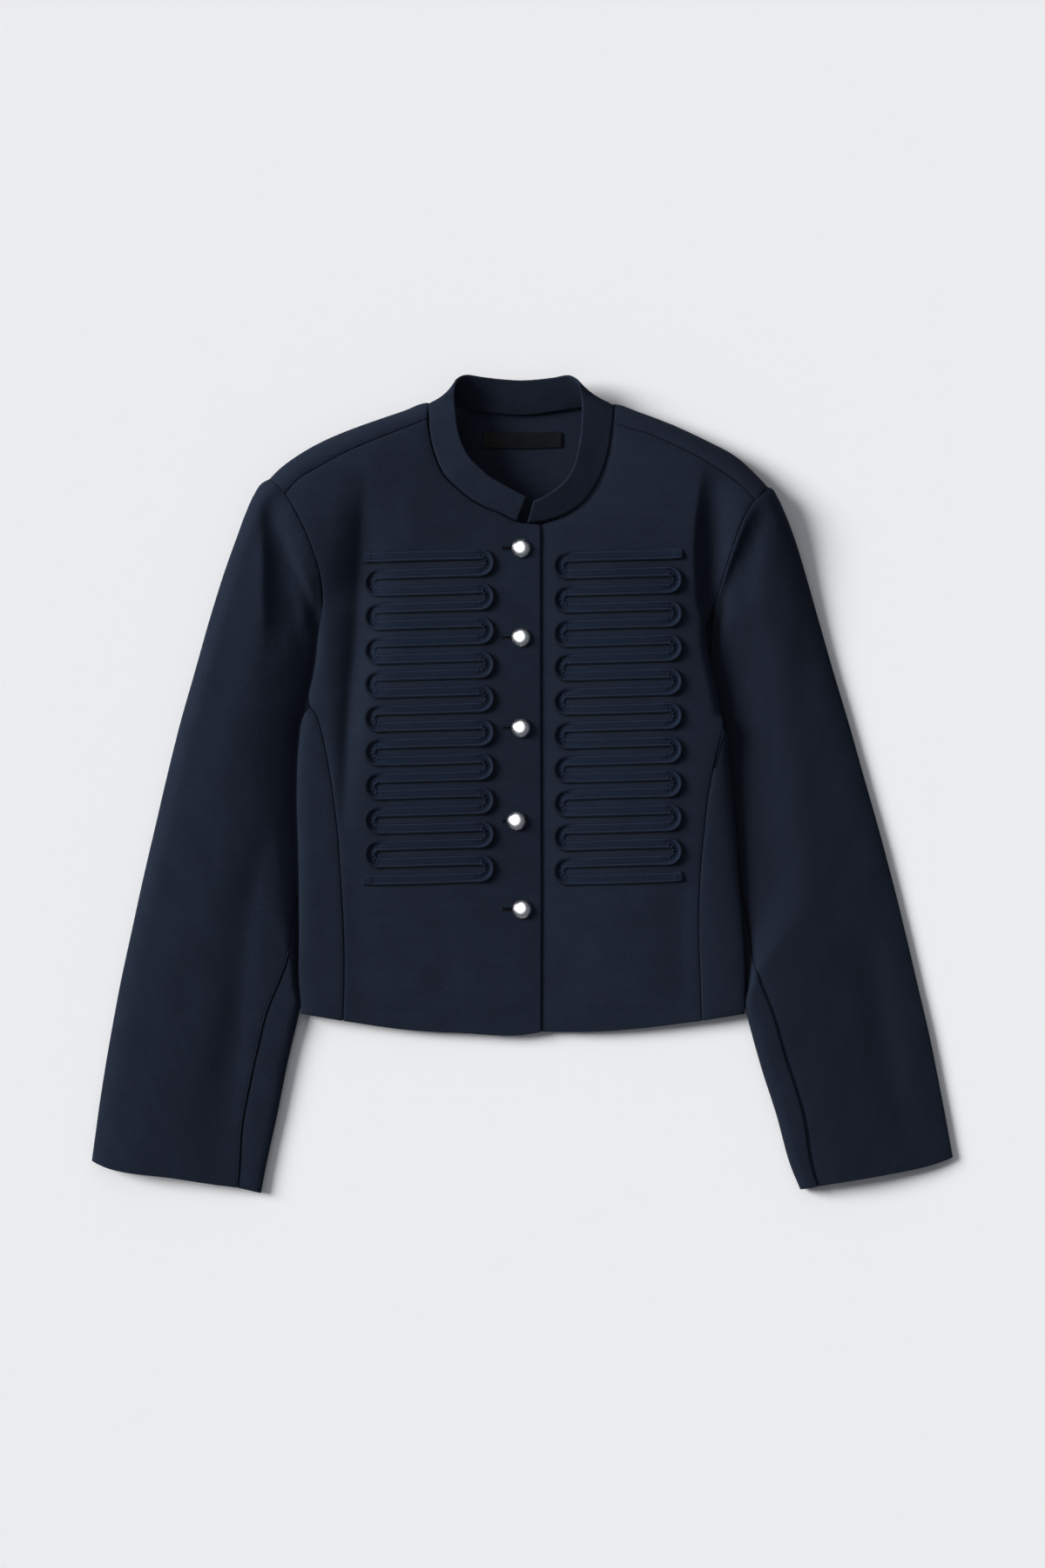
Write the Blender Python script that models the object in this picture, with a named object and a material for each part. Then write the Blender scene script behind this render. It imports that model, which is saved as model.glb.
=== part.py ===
"""Cropped stand-collar blazer laid flat on its back, with a serpentine braid on each front.

+Z is up, the collar points to +Y, and the wearer's right is on the -X side.
Tables are in millimetres; the mesh is built in metres.
"""
import math

import bpy
import numpy as np
from mathutils import Vector
from mathutils.bvhtree import BVHTree

MM = 0.001
CLOTH = 1.5             # wall of the twill with its facing
COLLAR_WALL = 2.4       # two layers of twill and their stiffening
SEAM_GAP = 0.4          # each panel stands back this far from its seam line
LAYER_GAP = 0.6         # air between cloth layers that lie on each other
BACK_ROLL = 15.0        # how far the lower layer lifts towards the shoulder fold
SHOULDER_FOLD = 12.0    # height of the shoulder fold line
TUCKED_SLEEVE = 4.6     # height of a sleeve where the body lies on it
BODY_UNDER = 5.8        # underside of the body where it lies on a sleeve

# Seam lines: x, y, z of the cloth's outer face. Lists run upwards from the hem.
PRINCESS_RIGHT = [
    (-154.2, -203.0, 11.0), (-153.3, -165.0, 11.8), (-153.7, -130.0, 12.5), (-155.0, -100.0, 13.2),
    (-156.8, -70.0, 14.0), (-158.5, -46.0, 14.5), (-161.0, -23.0, 15.0), (-164.0, 0.0, 15.0),
    (-168.0, 23.0, 15.0), (-172.5, 44.0, 14.6), (-177.0, 58.5, 14.0), (-182.0, 66.0, 13.2),
]
PRINCESS_LEFT = [
    (154.0, -203.0, 11.0), (153.2, -174.0, 11.6), (152.2, -148.0, 12.1), (151.8, -120.0, 12.8),
    (152.3, -90.0, 13.5), (154.0, -62.0, 14.0), (156.5, -38.0, 14.5), (159.0, -15.0, 15.0),
    (163.0, 8.0, 15.0), (167.0, 27.0, 14.6), (170.0, 38.0, 14.2), (172.3, 47.0, 13.4),
]
SIDE_FOLD_RIGHT = [
    (-190.5, -197.0), (-192.6, -166.0), (-192.2, -132.0), (-192.2, -102.0),
    (-192.6, -72.0), (-193.2, -46.0), (-194.0, -22.0), (-194.0, 0.0),
    (-193.5, 18.0), (-192.0, 38.0), (-190.0, 53.0), (-187.0, 61.0),
]
SIDE_FOLD_LEFT = [
    (191.2, -197.0), (191.6, -174.0), (191.0, -148.0), (189.5, -120.0),
    (187.0, -90.0), (185.3, -62.0), (183.5, -37.0), (181.5, -14.0),
    (179.6, 8.0), (178.0, 24.0), (177.0, 34.0), (176.6, 42.0),
]
# The front's own edge where it lies over the sleeve, below the armhole seam that shows.
OVER_SLEEVE_RIGHT = [(-184.0, 74.0, 12.0), (-181.0, 90.0, 12.0), (-178.5, 104.0, 12.4), (-176.0, 127.0, 13.2)]
OVER_SLEEVE_LEFT = [(170.5, 62.0, 12.0), (166.0, 88.0, 12.0), (160.0, 114.0, 12.4), (158.5, 136.0, 13.2)]
# Armhole seam from the shoulder fold down to the underarm, which the front hides.
ARMHOLE_RIGHT = [
    (-217.2, 262.2, 12.0), (-203.7, 249.2, 27.0), (-194.2, 233.0, 29.5), (-186.0, 216.5, 29.5),
    (-179.7, 200.3, 27.0), (-174.7, 184.2, 22.5), (-171.5, 155.7, 14.5), (-168.0, 127.2, 6.4),
    (-164.5, 95.0, 4.8), (-159.0, 68.0, 4.6), (-148.0, 50.0, 4.6),
]
ARMHOLE_LEFT = [
    (210.8, 255.2, 12.0), (199.5, 244.0, 26.5), (191.2, 231.5, 29.0), (184.8, 216.5, 29.0),
    (178.0, 197.0, 26.5), (172.5, 179.0, 22.0), (165.6, 155.0, 14.5), (162.5, 127.0, 6.4),
    (161.0, 95.0, 4.8), (157.0, 68.0, 4.6), (147.0, 50.0, 4.6),
]
# Shoulder seam of each front, forward of the fold, from the armhole to the neck.
SHOULDER_SEAM_RIGHT = [
    (-203.7, 249.2, 27.0), (-191.0, 262.2, 27.5), (-174.5, 272.0, 27.5), (-158.7, 281.0, 27.0),
    (-134.0, 292.2, 26.5), (-109.6, 302.0, 26.0), (-82.2, 312.5, 25.5),
]
SHOULDER_SEAM_LEFT = [
    (199.5, 244.0, 26.5), (186.3, 257.0, 27.0), (163.8, 272.7, 27.0), (139.0, 286.5, 27.0),
    (106.8, 300.5, 26.5), (79.8, 308.7, 25.5),
]
# Shoulder fold in plan, from the armhole to the neck.
SHOULDER_RIGHT = [
    (-217.2, 262.2), (-209.0, 270.5), (-194.0, 281.7), (-174.5, 293.0),
    (-150.5, 303.5), (-125.7, 312.5), (-101.7, 320.7), (-82.2, 327.5),
]
SHOULDER_LEFT = [
    (210.8, 255.2), (202.8, 263.7), (184.8, 280.2), (155.5, 296.3),
    (122.9, 311.0), (100.0, 319.5), (79.8, 326.3),
]
# Neck seam of each front from the shoulder to the centre.
NECK_RIGHT = [
    (-82.2, 312.5, 25.5), (-80.5, 300.0, 25.8), (-76.0, 281.7, 26.0), (-68.0, 264.5, 25.5),
    (-55.2, 251.7, 25.0), (-44.0, 242.7, 24.5), (-32.3, 236.2, 24.0), (-20.7, 231.5, 23.5),
    (-5.4, 224.2, 23.0), (14.9, 221.9, 22.5),
]
NECK_LEFT = [
    (79.8, 308.7, 25.5), (78.5, 302.2, 25.8), (74.5, 279.5, 26.0), (65.3, 256.3, 25.5),
    (53.9, 240.8, 25.0), (36.6, 229.4, 23.5), (19.5, 222.8, 22.0),
]
# Back neck in plan with the height of the lower face, from the wearer's right to the left.
BACK_NECK = [
    (-82.2, 327.5, 12.0), (-72.0, 326.4, 6.8), (-59.2, 325.2, 1.8), (-40.2, 322.4, 0.8),
    (-20.7, 320.1, 0.6), (-3.5, 319.2, 0.6), (13.8, 320.1, 0.6), (31.0, 322.4, 0.8),
    (52.8, 325.4, 1.8), (69.0, 326.4, 6.8), (79.8, 326.3, 12.0),
]
HEM_FRONT_RIGHT = [
    (-154.2, -203.0, 11.0), (-122.0, -208.0, 9.6), (-93.5, -211.4, 9.2),
    (-51.5, -213.6, 9.0), (-1.2, -215.3, 8.8), (15.3, -213.0, 8.6),
]
HEM_FRONT_LEFT = [
    (154.0, -203.0, 11.0), (100.8, -209.6, 9.6), (63.9, -212.3, 9.0), (19.5, -212.6, 7.4),
]
FRONT_EDGE_RIGHT = [
    (15.3, -213.0, 8.6), (15.6, -110.0, 11.0), (15.3, 0.0, 15.0), (15.0, 100.0, 19.0), (14.9, 221.9, 22.5),
]
# The left front's visible limit; its underlap runs on from here below the right front.
VISIBLE_EDGE_LEFT = [
    (19.5, -212.6, 7.4), (19.5, -110.0, 10.0), (19.5, 0.0, 14.0), (19.5, 100.0, 18.0), (19.5, 222.8, 22.0),
]
UNDERLAP_X = (12.0, -4.0, -18.5)
# Collar stations from the wearer's right front end round the back: base x, y, z, then top x, y, z.
COLLAR = [
    (-5.7, 224.3, 22.0, 2.2, 243.8, 43.0), (-20.7, 231.5, 22.5, -9.5, 249.5, 43.5),
    (-32.3, 236.2, 23.0, -18.5, 254.7, 43.5), (-44.0, 242.7, 23.5, -27.7, 260.0, 43.0),
    (-55.2, 251.7, 24.0, -38.0, 268.7, 43.0), (-68.0, 264.5, 24.5, -47.2, 278.2, 42.5),
    (-76.0, 281.7, 25.0, -53.7, 290.0, 41.5), (-80.5, 300.0, 25.0, -57.8, 303.5, 40.0),
    (-81.7, 314.0, 24.0, -59.7, 318.5, 38.0), (-82.0, 326.9, 17.0, -60.5, 335.5, 34.0),
    (-72.0, 327.6, 10.0, -59.0, 346.2, 28.5), (-59.2, 326.4, 4.9, -51.8, 350.9, 22.0),
    (-40.2, 323.4, 3.8, -35.5, 349.6, 17.0), (-20.7, 321.1, 3.6, -18.5, 348.0, 14.5),
    (-3.5, 320.2, 3.6, -3.5, 347.2, 14.0),
    (13.8, 321.1, 3.6, 11.5, 347.7, 14.5), (31.0, 323.4, 3.8, 27.3, 349.2, 17.0),
    (52.8, 326.4, 4.9, 42.3, 350.7, 22.0), (69.0, 327.4, 10.0, 49.8, 345.8, 28.5),
    (79.6, 325.6, 17.0, 52.1, 337.0, 34.0), (79.6, 314.6, 23.5, 53.7, 323.0, 38.5),
    (78.3, 302.2, 25.0, 53.3, 309.5, 40.0), (74.5, 279.5, 25.0, 52.0, 295.5, 41.5),
    (70.6, 267.5, 24.8, 49.8, 284.0, 42.5), (65.3, 256.3, 24.5, 46.8, 272.7, 43.0),
    (53.9, 240.8, 24.0, 38.9, 258.6, 43.5), (36.6, 229.4, 22.8, 25.1, 247.2, 43.5),
    (24.0, 225.0, 22.0, 17.0, 242.5, 43.5), (5.6, 222.6, 21.0, 10.5, 239.8, 43.0),
]
# Outer edge of each sleeve from the shoulder to the cuff, then its inner edge from the underarm.
SLEEVE_OUTER_RIGHT = [
    (-217.2, 262.2), (-224.6, 258.0), (-230.5, 249.0), (-238.2, 232.2), (-246.5, 209.7), (-254.7, 187.2),
    (-269.0, 142.2), (-281.7, 97.2), (-294.5, 52.2), (-305.7, 7.2), (-316.2, -37.8), (-326.7, -82.8),
    (-336.5, -127.8), (-346.2, -172.8), (-354.5, -217.8), (-362.0, -262.8), (-370.5, -323.6),
]
SLEEVE_INNER_RIGHT = [
    (-148.0, 50.0), (-156.0, 5.0), (-168.0, -50.0), (-179.0, -115.0), (-191.3, -193.0),
    (-202.2, -240.3), (-211.2, -285.3), (-221.0, -330.3), (-224.9, -351.3),
]
CUFF_RIGHT = [
    (-370.5, -323.6), (-364.0, -326.8), (-298.5, -338.6), (-265.2, -343.8), (-245.0, -346.6), (-224.9, -351.3),
]
SLEEVE_OUTER_LEFT = [
    (210.8, 255.2), (214.6, 253.6), (218.8, 247.3), (224.2, 236.0), (236.5, 203.7), (241.5, 187.2),
    (254.5, 142.2), (267.3, 97.2), (280.8, 52.2), (293.5, 7.2), (306.3, -37.8), (318.3, -82.8),
    (329.5, -127.8), (340.0, -172.8), (350.5, -217.8), (359.5, -262.8), (370.3, -320.6),
]
SLEEVE_INNER_LEFT = [
    (147.0, 50.0), (155.0, 5.0), (168.0, -50.0), (180.0, -115.0), (191.8, -193.0),
    (204.3, -240.3), (218.6, -285.3), (231.3, -330.3), (238.8, -348.3),
]
CUFF_LEFT = [
    (370.3, -320.6), (363.0, -323.5), (307.8, -336.3), (280.8, -340.8), (259.0, -344.4), (238.8, -348.3),
]
# Height of a sleeve's upper face: share of its length, then five places across from the outer edge.
ACROSS_SLEEVE = (0.10, 0.30, 0.50, 0.70, 0.85)
SLEEVE_HEIGHT_RIGHT = [
    (0.12, 27.0, 27.0, 19.0, 9.0, 4.8), (0.30, 21.0, 23.0, 18.0, 10.0, 4.8), (0.50, 17.0, 19.0, 17.0, 11.5, 5.6),
    (0.70, 15.0, 17.0, 16.0, 13.0, 10.0), (0.85, 14.0, 15.5, 15.0, 13.0, 11.0), (1.00, 12.0, 13.0, 13.0, 12.0, 10.5),
]
SLEEVE_HEIGHT_LEFT = [
    (0.12, 27.0, 27.0, 17.0, 6.5, 4.6), (0.30, 21.0, 22.0, 15.0, 7.0, 4.6), (0.50, 17.0, 19.0, 15.5, 8.5, 4.8),
    (0.70, 15.0, 17.0, 16.0, 13.0, 10.0), (0.85, 14.0, 15.5, 15.0, 13.0, 11.0), (1.00, 12.0, 13.0, 13.0, 12.0, 10.5),
]
# Front seam of each sleeve: share of the length, share of the width from the outer edge.
SLEEVE_SEAM_RIGHT = [(0.0, 0.93), (0.5, 0.90), (0.68, 0.83), (0.85, 0.82), (1.0, 0.86)]
SLEEVE_SEAM_LEFT = [(0.0, 0.93), (0.5, 0.92), (0.68, 0.86), (0.85, 0.85), (1.0, 0.885)]
SLEEVE_BACK_SEAM = 0.25  # share of the width, on the hidden face

# Soft folds: path x, y; depth at the deepest point and half width.
FRONT_FOLDS = [
    {"depth": 4.0, "wide": 12.0, "path": [(-135.0, 268.0), (-140.7, 202.0), (-145.0, 138.0), (-153.5, 97.0),
                                          (-163.0, 40.0)]},
    {"depth": 7.0, "wide": 8.5, "path": [(158.0, 272.0), (153.0, 225.0), (152.5, 190.0), (155.0, 158.0),
                                         (160.0, 128.0)]},
]
SLEEVE_FOLDS = [
    {"depth": 3.0, "wide": 8.0, "path": [(-207.5, 218.0), (-192.0, 167.7), (-183.0, 120.0)]},
    {"depth": 2.5, "wide": 14.0, "path": [(-208.0, 127.0), (-206.0, 11.7), (-225.0, -56.6), (-238.0, -110.0),
                                          (-243.0, -183.0), (-256.0, -300.0)]},
    {"depth": 5.0, "wide": 10.0, "path": [(212.0, 234.0), (196.0, 196.0), (184.0, 150.0), (182.0, 100.0)]},
    {"depth": 2.0, "wide": 12.0, "path": [(300.0, -165.0), (308.0, -195.0), (326.0, -296.0)]},
]

BUTTONS = [(-1.2, 202.2), (-1.2, 125.7), (-1.4, 48.0), (-5.2, -31.8), (-0.5, -107.6)]
BUTTON_RADIUS = 8.2
BUTTONHOLE = {"left": -17.3, "past_button": 3.6, "wide": 2.6}
BRAID = {"runs": 20, "pitch": 14.57, "first_y": 196.0, "wide": 9.4, "thick": 1.2, "turn": 7.285}
LABEL = {"x": (-33.8, 33.7), "y": (289.8, 302.6), "thick": 0.6}

COLOURS = {
    "navy_twill": (0.012, 0.016, 0.030, 1.0),
    "navy_braid": (0.010, 0.013, 0.024, 1.0),
    "label_black": (0.010, 0.010, 0.012, 1.0),
    "satin_silver": (0.62, 0.63, 0.65, 1.0),
}


def clear_scene():
    for thing in list(bpy.data.objects):
        bpy.data.objects.remove(thing, do_unlink=True)


def material(name, metallic, roughness):
    made = bpy.data.materials.new(name)
    made.use_nodes = True
    shader = made.node_tree.nodes["Principled BSDF"]
    shader.inputs["Base Color"].default_value = COLOURS[name]
    shader.inputs["Metallic"].default_value = metallic
    shader.inputs["Roughness"].default_value = roughness
    made.diffuse_color = COLOURS[name]
    return made


def curve(rows):
    """A smooth line through the rows, read by its share of the length from 0 to 1."""
    points = np.array(rows, float)
    steps = np.linalg.norm(np.diff(points, axis=0), axis=1)
    reach = np.concatenate(([0.0], np.cumsum(steps))) / steps.sum()
    slopes = np.gradient(points, reach, axis=0)

    def at(share):
        place = min(max(share, 0.0), 1.0)
        index = min(int(np.searchsorted(reach, place, side="right")) - 1, len(points) - 2)
        span = reach[index + 1] - reach[index]
        f = (place - reach[index]) / span
        start = points[index] * (2 * f**3 - 3 * f**2 + 1) + slopes[index] * span * (f**3 - 2 * f**2 + f)
        return start + points[index + 1] * (3 * f**2 - 2 * f**3) + slopes[index + 1] * span * (f**3 - f**2)

    at.reach = reach
    at.length = steps.sum()
    return at


def joined(first, second):
    """Two lines end to end with a corner between them."""
    corner = first.length / (first.length + second.length)

    def at(share):
        if share <= corner:
            return first(share / corner)
        return second((share - corner) / (1 - corner))

    at.corner = corner
    return at


def table_value(rows, share):
    """A smooth value from rows of (share, value, ...)."""
    table = np.array(rows, float)
    where = np.interp(share, table[:, 0], np.arange(len(table)))
    index = min(int(where), len(table) - 2)
    f = where - index
    blend = f * f * (3 - 2 * f)
    return table[index, 1:] * (1 - blend) + table[index + 1, 1:] * blend


def roll(distance, reach):
    """Rise of a rounded fold: 0 at the fold line, 1 past its reach."""
    share = min(max(distance / reach, 0.0), 1.0)
    return math.sqrt(1.0 - (1.0 - share) ** 2)


def ease(value, low, high):
    share = min(max((value - low) / (high - low), 0.0), 1.0)
    return share * share * (3 - 2 * share)


def patch(bottom, top, left, right, across, along):
    """A smooth grid between four edge lines that meet at its corners."""
    grid = np.zeros((len(along), len(across), len(bottom(0.0))))
    for i, v in enumerate(along):
        for j, u in enumerate(across):
            sides = (1 - v) * bottom(u) + v * top(u) + (1 - u) * left(v) + u * right(v)
            corners = (1 - u) * (1 - v) * bottom(0.0) + u * (1 - v) * bottom(1.0)
            corners = corners + (1 - u) * v * top(0.0) + u * v * top(1.0)
            grid[i, j] = sides - corners
    return grid


def fold_depth(x, y, folds):
    """How far the folds press the cloth down at a place."""
    total = 0.0
    for fold in folds:
        path = np.array(fold["path"])
        best = (1e9, 0.0)
        for index in range(len(path) - 1):
            line = path[index + 1] - path[index]
            share = np.clip(np.dot((x, y) - path[index], line) / np.dot(line, line), 0.0, 1.0)
            gap = float(np.hypot(*((x, y) - path[index] - share * line)))
            if gap < best[0]:
                best = (gap, (index + share) / (len(path) - 1))
        fade = math.sin(math.pi * min(max(0.08 + 0.84 * best[1], 0.0), 1.0)) ** 0.6
        total += fold["depth"] * fade * math.exp(-(best[0] / fold["wide"]) ** 2)
    return total


def stand_back(grid, sides, gap=SEAM_GAP):
    """Draws the named edges of a grid in by a seam gap."""
    moved = grid.copy()
    pairs = {"first_row": (0, 1, 0), "last_row": (-1, -2, 0), "first_column": (0, 1, 1), "last_column": (-1, -2, 1)}
    for side in sides:
        edge, inner, axis = pairs[side]
        line = np.take(grid, edge, axis=axis)
        toward = np.take(grid, inner, axis=axis) - line
        toward /= np.linalg.norm(toward, axis=1)[:, None]
        if axis == 0:
            moved[edge] += toward * gap
        else:
            moved[:, edge] += toward * gap
    return moved


def mesh_object(name, points, faces, made_of):
    mesh = bpy.data.meshes.new(name)
    mesh.from_pydata([tuple(float(c) * MM for c in p) for p in points], [], faces)
    mesh.update()
    mesh.materials.append(made_of)
    thing = bpy.data.objects.new(name, mesh)
    bpy.context.scene.collection.objects.link(thing)
    return thing


def grid_faces(rows, columns, start=0, flip=False):
    faces = []
    for i in range(rows - 1):
        for j in range(columns - 1):
            a = start + i * columns + j
            face = (a, a + 1, a + columns + 1, a + columns)
            faces.append(face[::-1] if flip else face)
    return faces


def cloth_wall(thing, thick=CLOTH):
    wall = thing.modifiers.new("wall", "SOLIDIFY")
    wall.thickness = thick * MM
    wall.offset = -1.0
    for face in thing.data.polygons:
        face.use_smooth = True


def faces_out(thing, away):
    """Whether the sheet's faces look up, or away from its own middle."""
    mesh = thing.data
    middle = sum((face.center * face.area for face in mesh.polygons), Vector()) / sum(f.area for f in mesh.polygons)
    total = 0.0
    for face in mesh.polygons:
        toward = face.center - middle if away else Vector((0.0, 0.0, 1.0))
        total += face.normal.dot(toward) * face.area
    return total > 0.0


def panel(name, grid, made_of, away=False, thick=CLOTH):
    rows, columns = grid.shape[:2]
    thing = mesh_object(name, grid.reshape(-1, 3), grid_faces(rows, columns), made_of)
    if not faces_out(thing, away):
        thing.data.flip_normals()
    cloth_wall(thing, thick)
    return thing


def front_grid(hem, neck, shoulder, side, front_edge, bulge):
    """One front from the hem up, from its side to its front edge and neck; and how many rows end below the neck."""
    side_line = curve(side)
    neck_line = curve(neck[::-1])
    far_line = joined(curve(front_edge), neck_line)
    rows = list(side_line.reach)
    for share in neck_line.reach:
        place = far_line.corner + (1 - far_line.corner) * share
        nearest = min(range(len(rows)), key=lambda index: abs(rows[index] - place))
        if abs(rows[nearest] - place) > 0.012:
            rows.append(place)
        elif share == 0.0:
            rows[nearest] = place
    rows.sort()
    columns = (0.0, 0.06, 0.13, 0.21, 0.31, 0.43, 0.57, 0.72, 0.87, 1.0)
    grid = patch(curve(hem), curve(shoulder), side_line, far_line, columns, rows)
    for i, v in enumerate(rows):
        for j, u in enumerate(columns):
            lift = bulge * math.sin(math.pi * u) * math.sin(math.pi * v) ** 0.8
            x, y = grid[i, j, :2]
            grid[i, j, 2] += lift - fold_depth(x, y, FRONT_FOLDS)
    return grid, sum(1 for v in rows if v <= far_line.corner + 1e-9)


def front_right_grid():
    side = PRINCESS_RIGHT + OVER_SLEEVE_RIGHT + ARMHOLE_RIGHT[6:0:-1]
    return front_grid(HEM_FRONT_RIGHT, NECK_RIGHT, SHOULDER_SEAM_RIGHT, side, FRONT_EDGE_RIGHT, 4.0)[0]


def front_left_grids(cover):
    """The left front, and its underlap pressed down below the right front."""
    side = PRINCESS_LEFT + OVER_SLEEVE_LEFT + ARMHOLE_LEFT[6:0:-1]
    grid, edge_rows = front_grid(HEM_FRONT_LEFT, NECK_LEFT, SHOULDER_SEAM_LEFT, side, VISIBLE_EDGE_LEFT, 4.0)
    lap = []
    for row in grid[:edge_rows]:
        x, y, z = row[-1]
        y_inside = min(max(y, -211.0), 220.0)
        layers = []
        for lap_x in UNDERLAP_X:
            near = [height(cover, min(lap_x + dx, 14.5), y_inside + dy, 99.0) for dx in (-6.0, 0.0, 6.0)
                    for dy in (-9.0, 0.0, 9.0)]
            layers.append((lap_x, y_inside - 0.6, min(near) - CLOTH - LAYER_GAP))
        row[-1][2] = min(z, layers[0][2] + 1.6)
        lap.append(layers)
    return grid, np.array(lap)


def make_front_left(grid, lap, made_of):
    rows, columns = grid.shape[:2]
    lap_rows, lap_columns = lap.shape[:2]
    start = rows * columns
    faces = grid_faces(rows, columns) + grid_faces(lap_rows, lap_columns, start)
    for i in range(lap_rows - 1):
        low = i * columns + columns - 1
        far = start + i * lap_columns
        faces.append((low, far, far + lap_columns, low + columns))
    points = list(grid.reshape(-1, 3)) + list(lap.reshape(-1, 3))
    thing = mesh_object("front_left", points, faces, made_of)
    if not faces_out(thing, False):
        thing.data.flip_normals()
    cloth_wall(thing)
    return thing, (points, faces)


def surface(points, faces):
    """An upper face as a search tree for the height at a place."""
    points = [Vector(p) for p in points]
    corners = []
    for a, b, c, d in faces:
        corners.append((a, b, c))
        corners.append((a, c, d))
    return BVHTree.FromPolygons(points, corners)


def height(tree, x, y, miss=0.0):
    hit = tree.ray_cast(Vector((x, y, 200.0)), Vector((0.0, 0.0, -1.0)))
    return hit[0].z if hit[0] is not None else miss


def side_panel_grid(princess, fold, sign):
    """From the princess seam round the side fold to a side seam on the hidden face."""
    seam_y = (-206.0, -170.0, -136.0, -105.0, -78.0, -55.0, -35.0, -16.0, 0.0, 13.0, 21.0, 27.0)
    rows = []
    for (px, py, pz), (fx, fy), sy in zip(princess, fold, seam_y):
        near_hem = ease(py, -203.0, -150.0)
        under = 4.4 + (BODY_UNDER - 4.4) * near_hem
        middle = under + 3.4
        wide = math.hypot(px - fx, py - fy)
        seam_x = 129.0 * sign
        points = []
        for share in (1.0, 0.62, 0.34, 0.14, 0.035, 0.0):
            rise = roll(share * wide, min(wide, 15.0))
            points.append((fx + (px - fx) * share, fy + (py - fy) * share, middle + (pz - middle) * rise))
        run = math.hypot(seam_x - fx, sy - fy)
        for along in (0.7, 2.6, 7.0, 20.0, 0.72 * run, 0.87 * run, run):
            share = along / run
            drop = (middle - under) * roll(along, 7.0)
            settle = ease(along, 0.71 * run, run)
            z = (middle - drop) * (1 - settle)
            points.append((fx + (seam_x - fx) * share, fy + (sy - fy) * share, z))
        rows.append(points)
    return np.array(rows)


def back_grid():
    """The lower layer, flat on its back, up to the shoulder folds and the back neck."""
    side_seam = (-206.5, -100.0, 0.0, 34.0)
    lines = []
    for sign, armhole in ((-1.0, ARMHOLE_RIGHT), (1.0, ARMHOLE_LEFT)):
        seam = [(sign * 127.0, y) for y in side_seam]
        lines.append(curve(seam + [row[:2] for row in armhole[::-1]]))
    right, left = lines
    hem = curve([(-127.0, -206.5), (-80.0, -210.0), (0.0, -212.0), (80.0, -210.0), (127.0, -206.5)])
    neck = [row[:2] for row in BACK_NECK]
    top = curve(SHOULDER_RIGHT + neck[1:-1] + SHOULDER_LEFT[::-1])
    neck_start = top.reach[len(SHOULDER_RIGHT) - 1]
    neck_end = top.reach[len(SHOULDER_RIGHT) + len(neck) - 2]
    across = [share * neck_start for share in (0.0, 0.06, 0.13, 0.31, 0.57, 0.87, 1.0)]
    across += [neck_start + (neck_end - neck_start) * s for s in (0.08, 0.2, 0.36, 0.5, 0.64, 0.8, 0.92)]
    across += [neck_end + (1 - neck_end) * s for s in (0.0, 0.13, 0.28, 0.57, 0.87, 0.94, 1.0)]
    along = sorted(list(right.reach) + [0.155, 0.99, 0.997])
    grid = patch(hem, top, right, left, across, along)
    neck_height = curve(BACK_NECK)
    lifted = np.zeros(grid.shape[:2] + (3,))
    lifted[..., :2] = grid
    for i in range(len(along)):
        for j, u in enumerate(across):
            edge = top(u)
            away = float(np.hypot(*(grid[i, j] - edge)))
            if neck_start < u < neck_end:
                rim = neck_height((u - neck_start) / (neck_end - neck_start))[2]
            else:
                rim = SHOULDER_FOLD
            lifted[i, j, 2] = rim * (1 - roll(away, BACK_ROLL))
    return lifted, across, top, neck_start, neck_end


def shoulder_strip(grid, across, top, picked, seam_rows, start, end):
    """Rows that carry the back over the shoulder fold to the forward seam."""
    seam = curve(seam_rows)
    fold = [grid[-1, j] for j in picked]
    rows = []
    for rise_share in (0.06, 0.28, 0.62, 1.0):
        row = []
        for j, rim in zip(picked, fold):
            share = (across[j] - start) / (end - start)
            target = seam(share)
            place = rim + (target - rim) * rise_share
            place[2] = rim[2] + (target[2] - rim[2]) * roll(rise_share, 1.0)
            row.append(place)
        rows.append(row)
    return np.array(rows)


def make_back(made_of):
    grid, across, top, neck_start, neck_end = back_grid()
    right_columns = [j for j, u in enumerate(across) if u <= neck_start + 1e-9]
    left_columns = [j for j, u in enumerate(across) if u >= neck_end - 1e-9]
    strip_right = shoulder_strip(grid, across, top, right_columns, SHOULDER_SEAM_RIGHT, 0.0, neck_start)
    strip_left = shoulder_strip(grid, across, top, left_columns, SHOULDER_SEAM_LEFT[::-1], neck_end, 1.0)
    strip_right = stand_back(strip_right, ("last_row",), 2 * SEAM_GAP)
    strip_left = stand_back(strip_left, ("last_row",), 2 * SEAM_GAP)
    inset = stand_back(grid, ("first_row", "first_column", "last_column"), 2 * SEAM_GAP)
    neck_columns = [j for j in range(len(across)) if neck_start + 1e-9 < across[j] < neck_end - 1e-9]
    inset[-1, neck_columns, 1] -= SEAM_GAP
    for strip, edge in ((strip_right, 0), (strip_left, -1)):
        strip[:, edge, 0] -= np.sign(strip[0, edge, 0]) * SEAM_GAP
        inner = -1 if edge == 0 else 0
        strip[:, inner, 0] += np.sign(strip[0, inner, 0]) * SEAM_GAP
    rows, columns = inset.shape[:2]
    points = list(inset.reshape(-1, 3))
    faces = grid_faces(rows, columns, 0, True)
    for strip, picked in ((strip_right, right_columns), (strip_left, left_columns)):
        start = len(points)
        points.extend(strip.reshape(-1, 3))
        count = len(picked)
        for k in range(count - 1):
            low = (rows - 1) * columns + picked[k]
            faces.append((low + 1, low, start + k, start + k + 1))
        faces.extend(grid_faces(strip.shape[0], count, start, True))
    thing = mesh_object("back", points, faces, made_of)
    cloth_wall(thing)
    return thing


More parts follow.
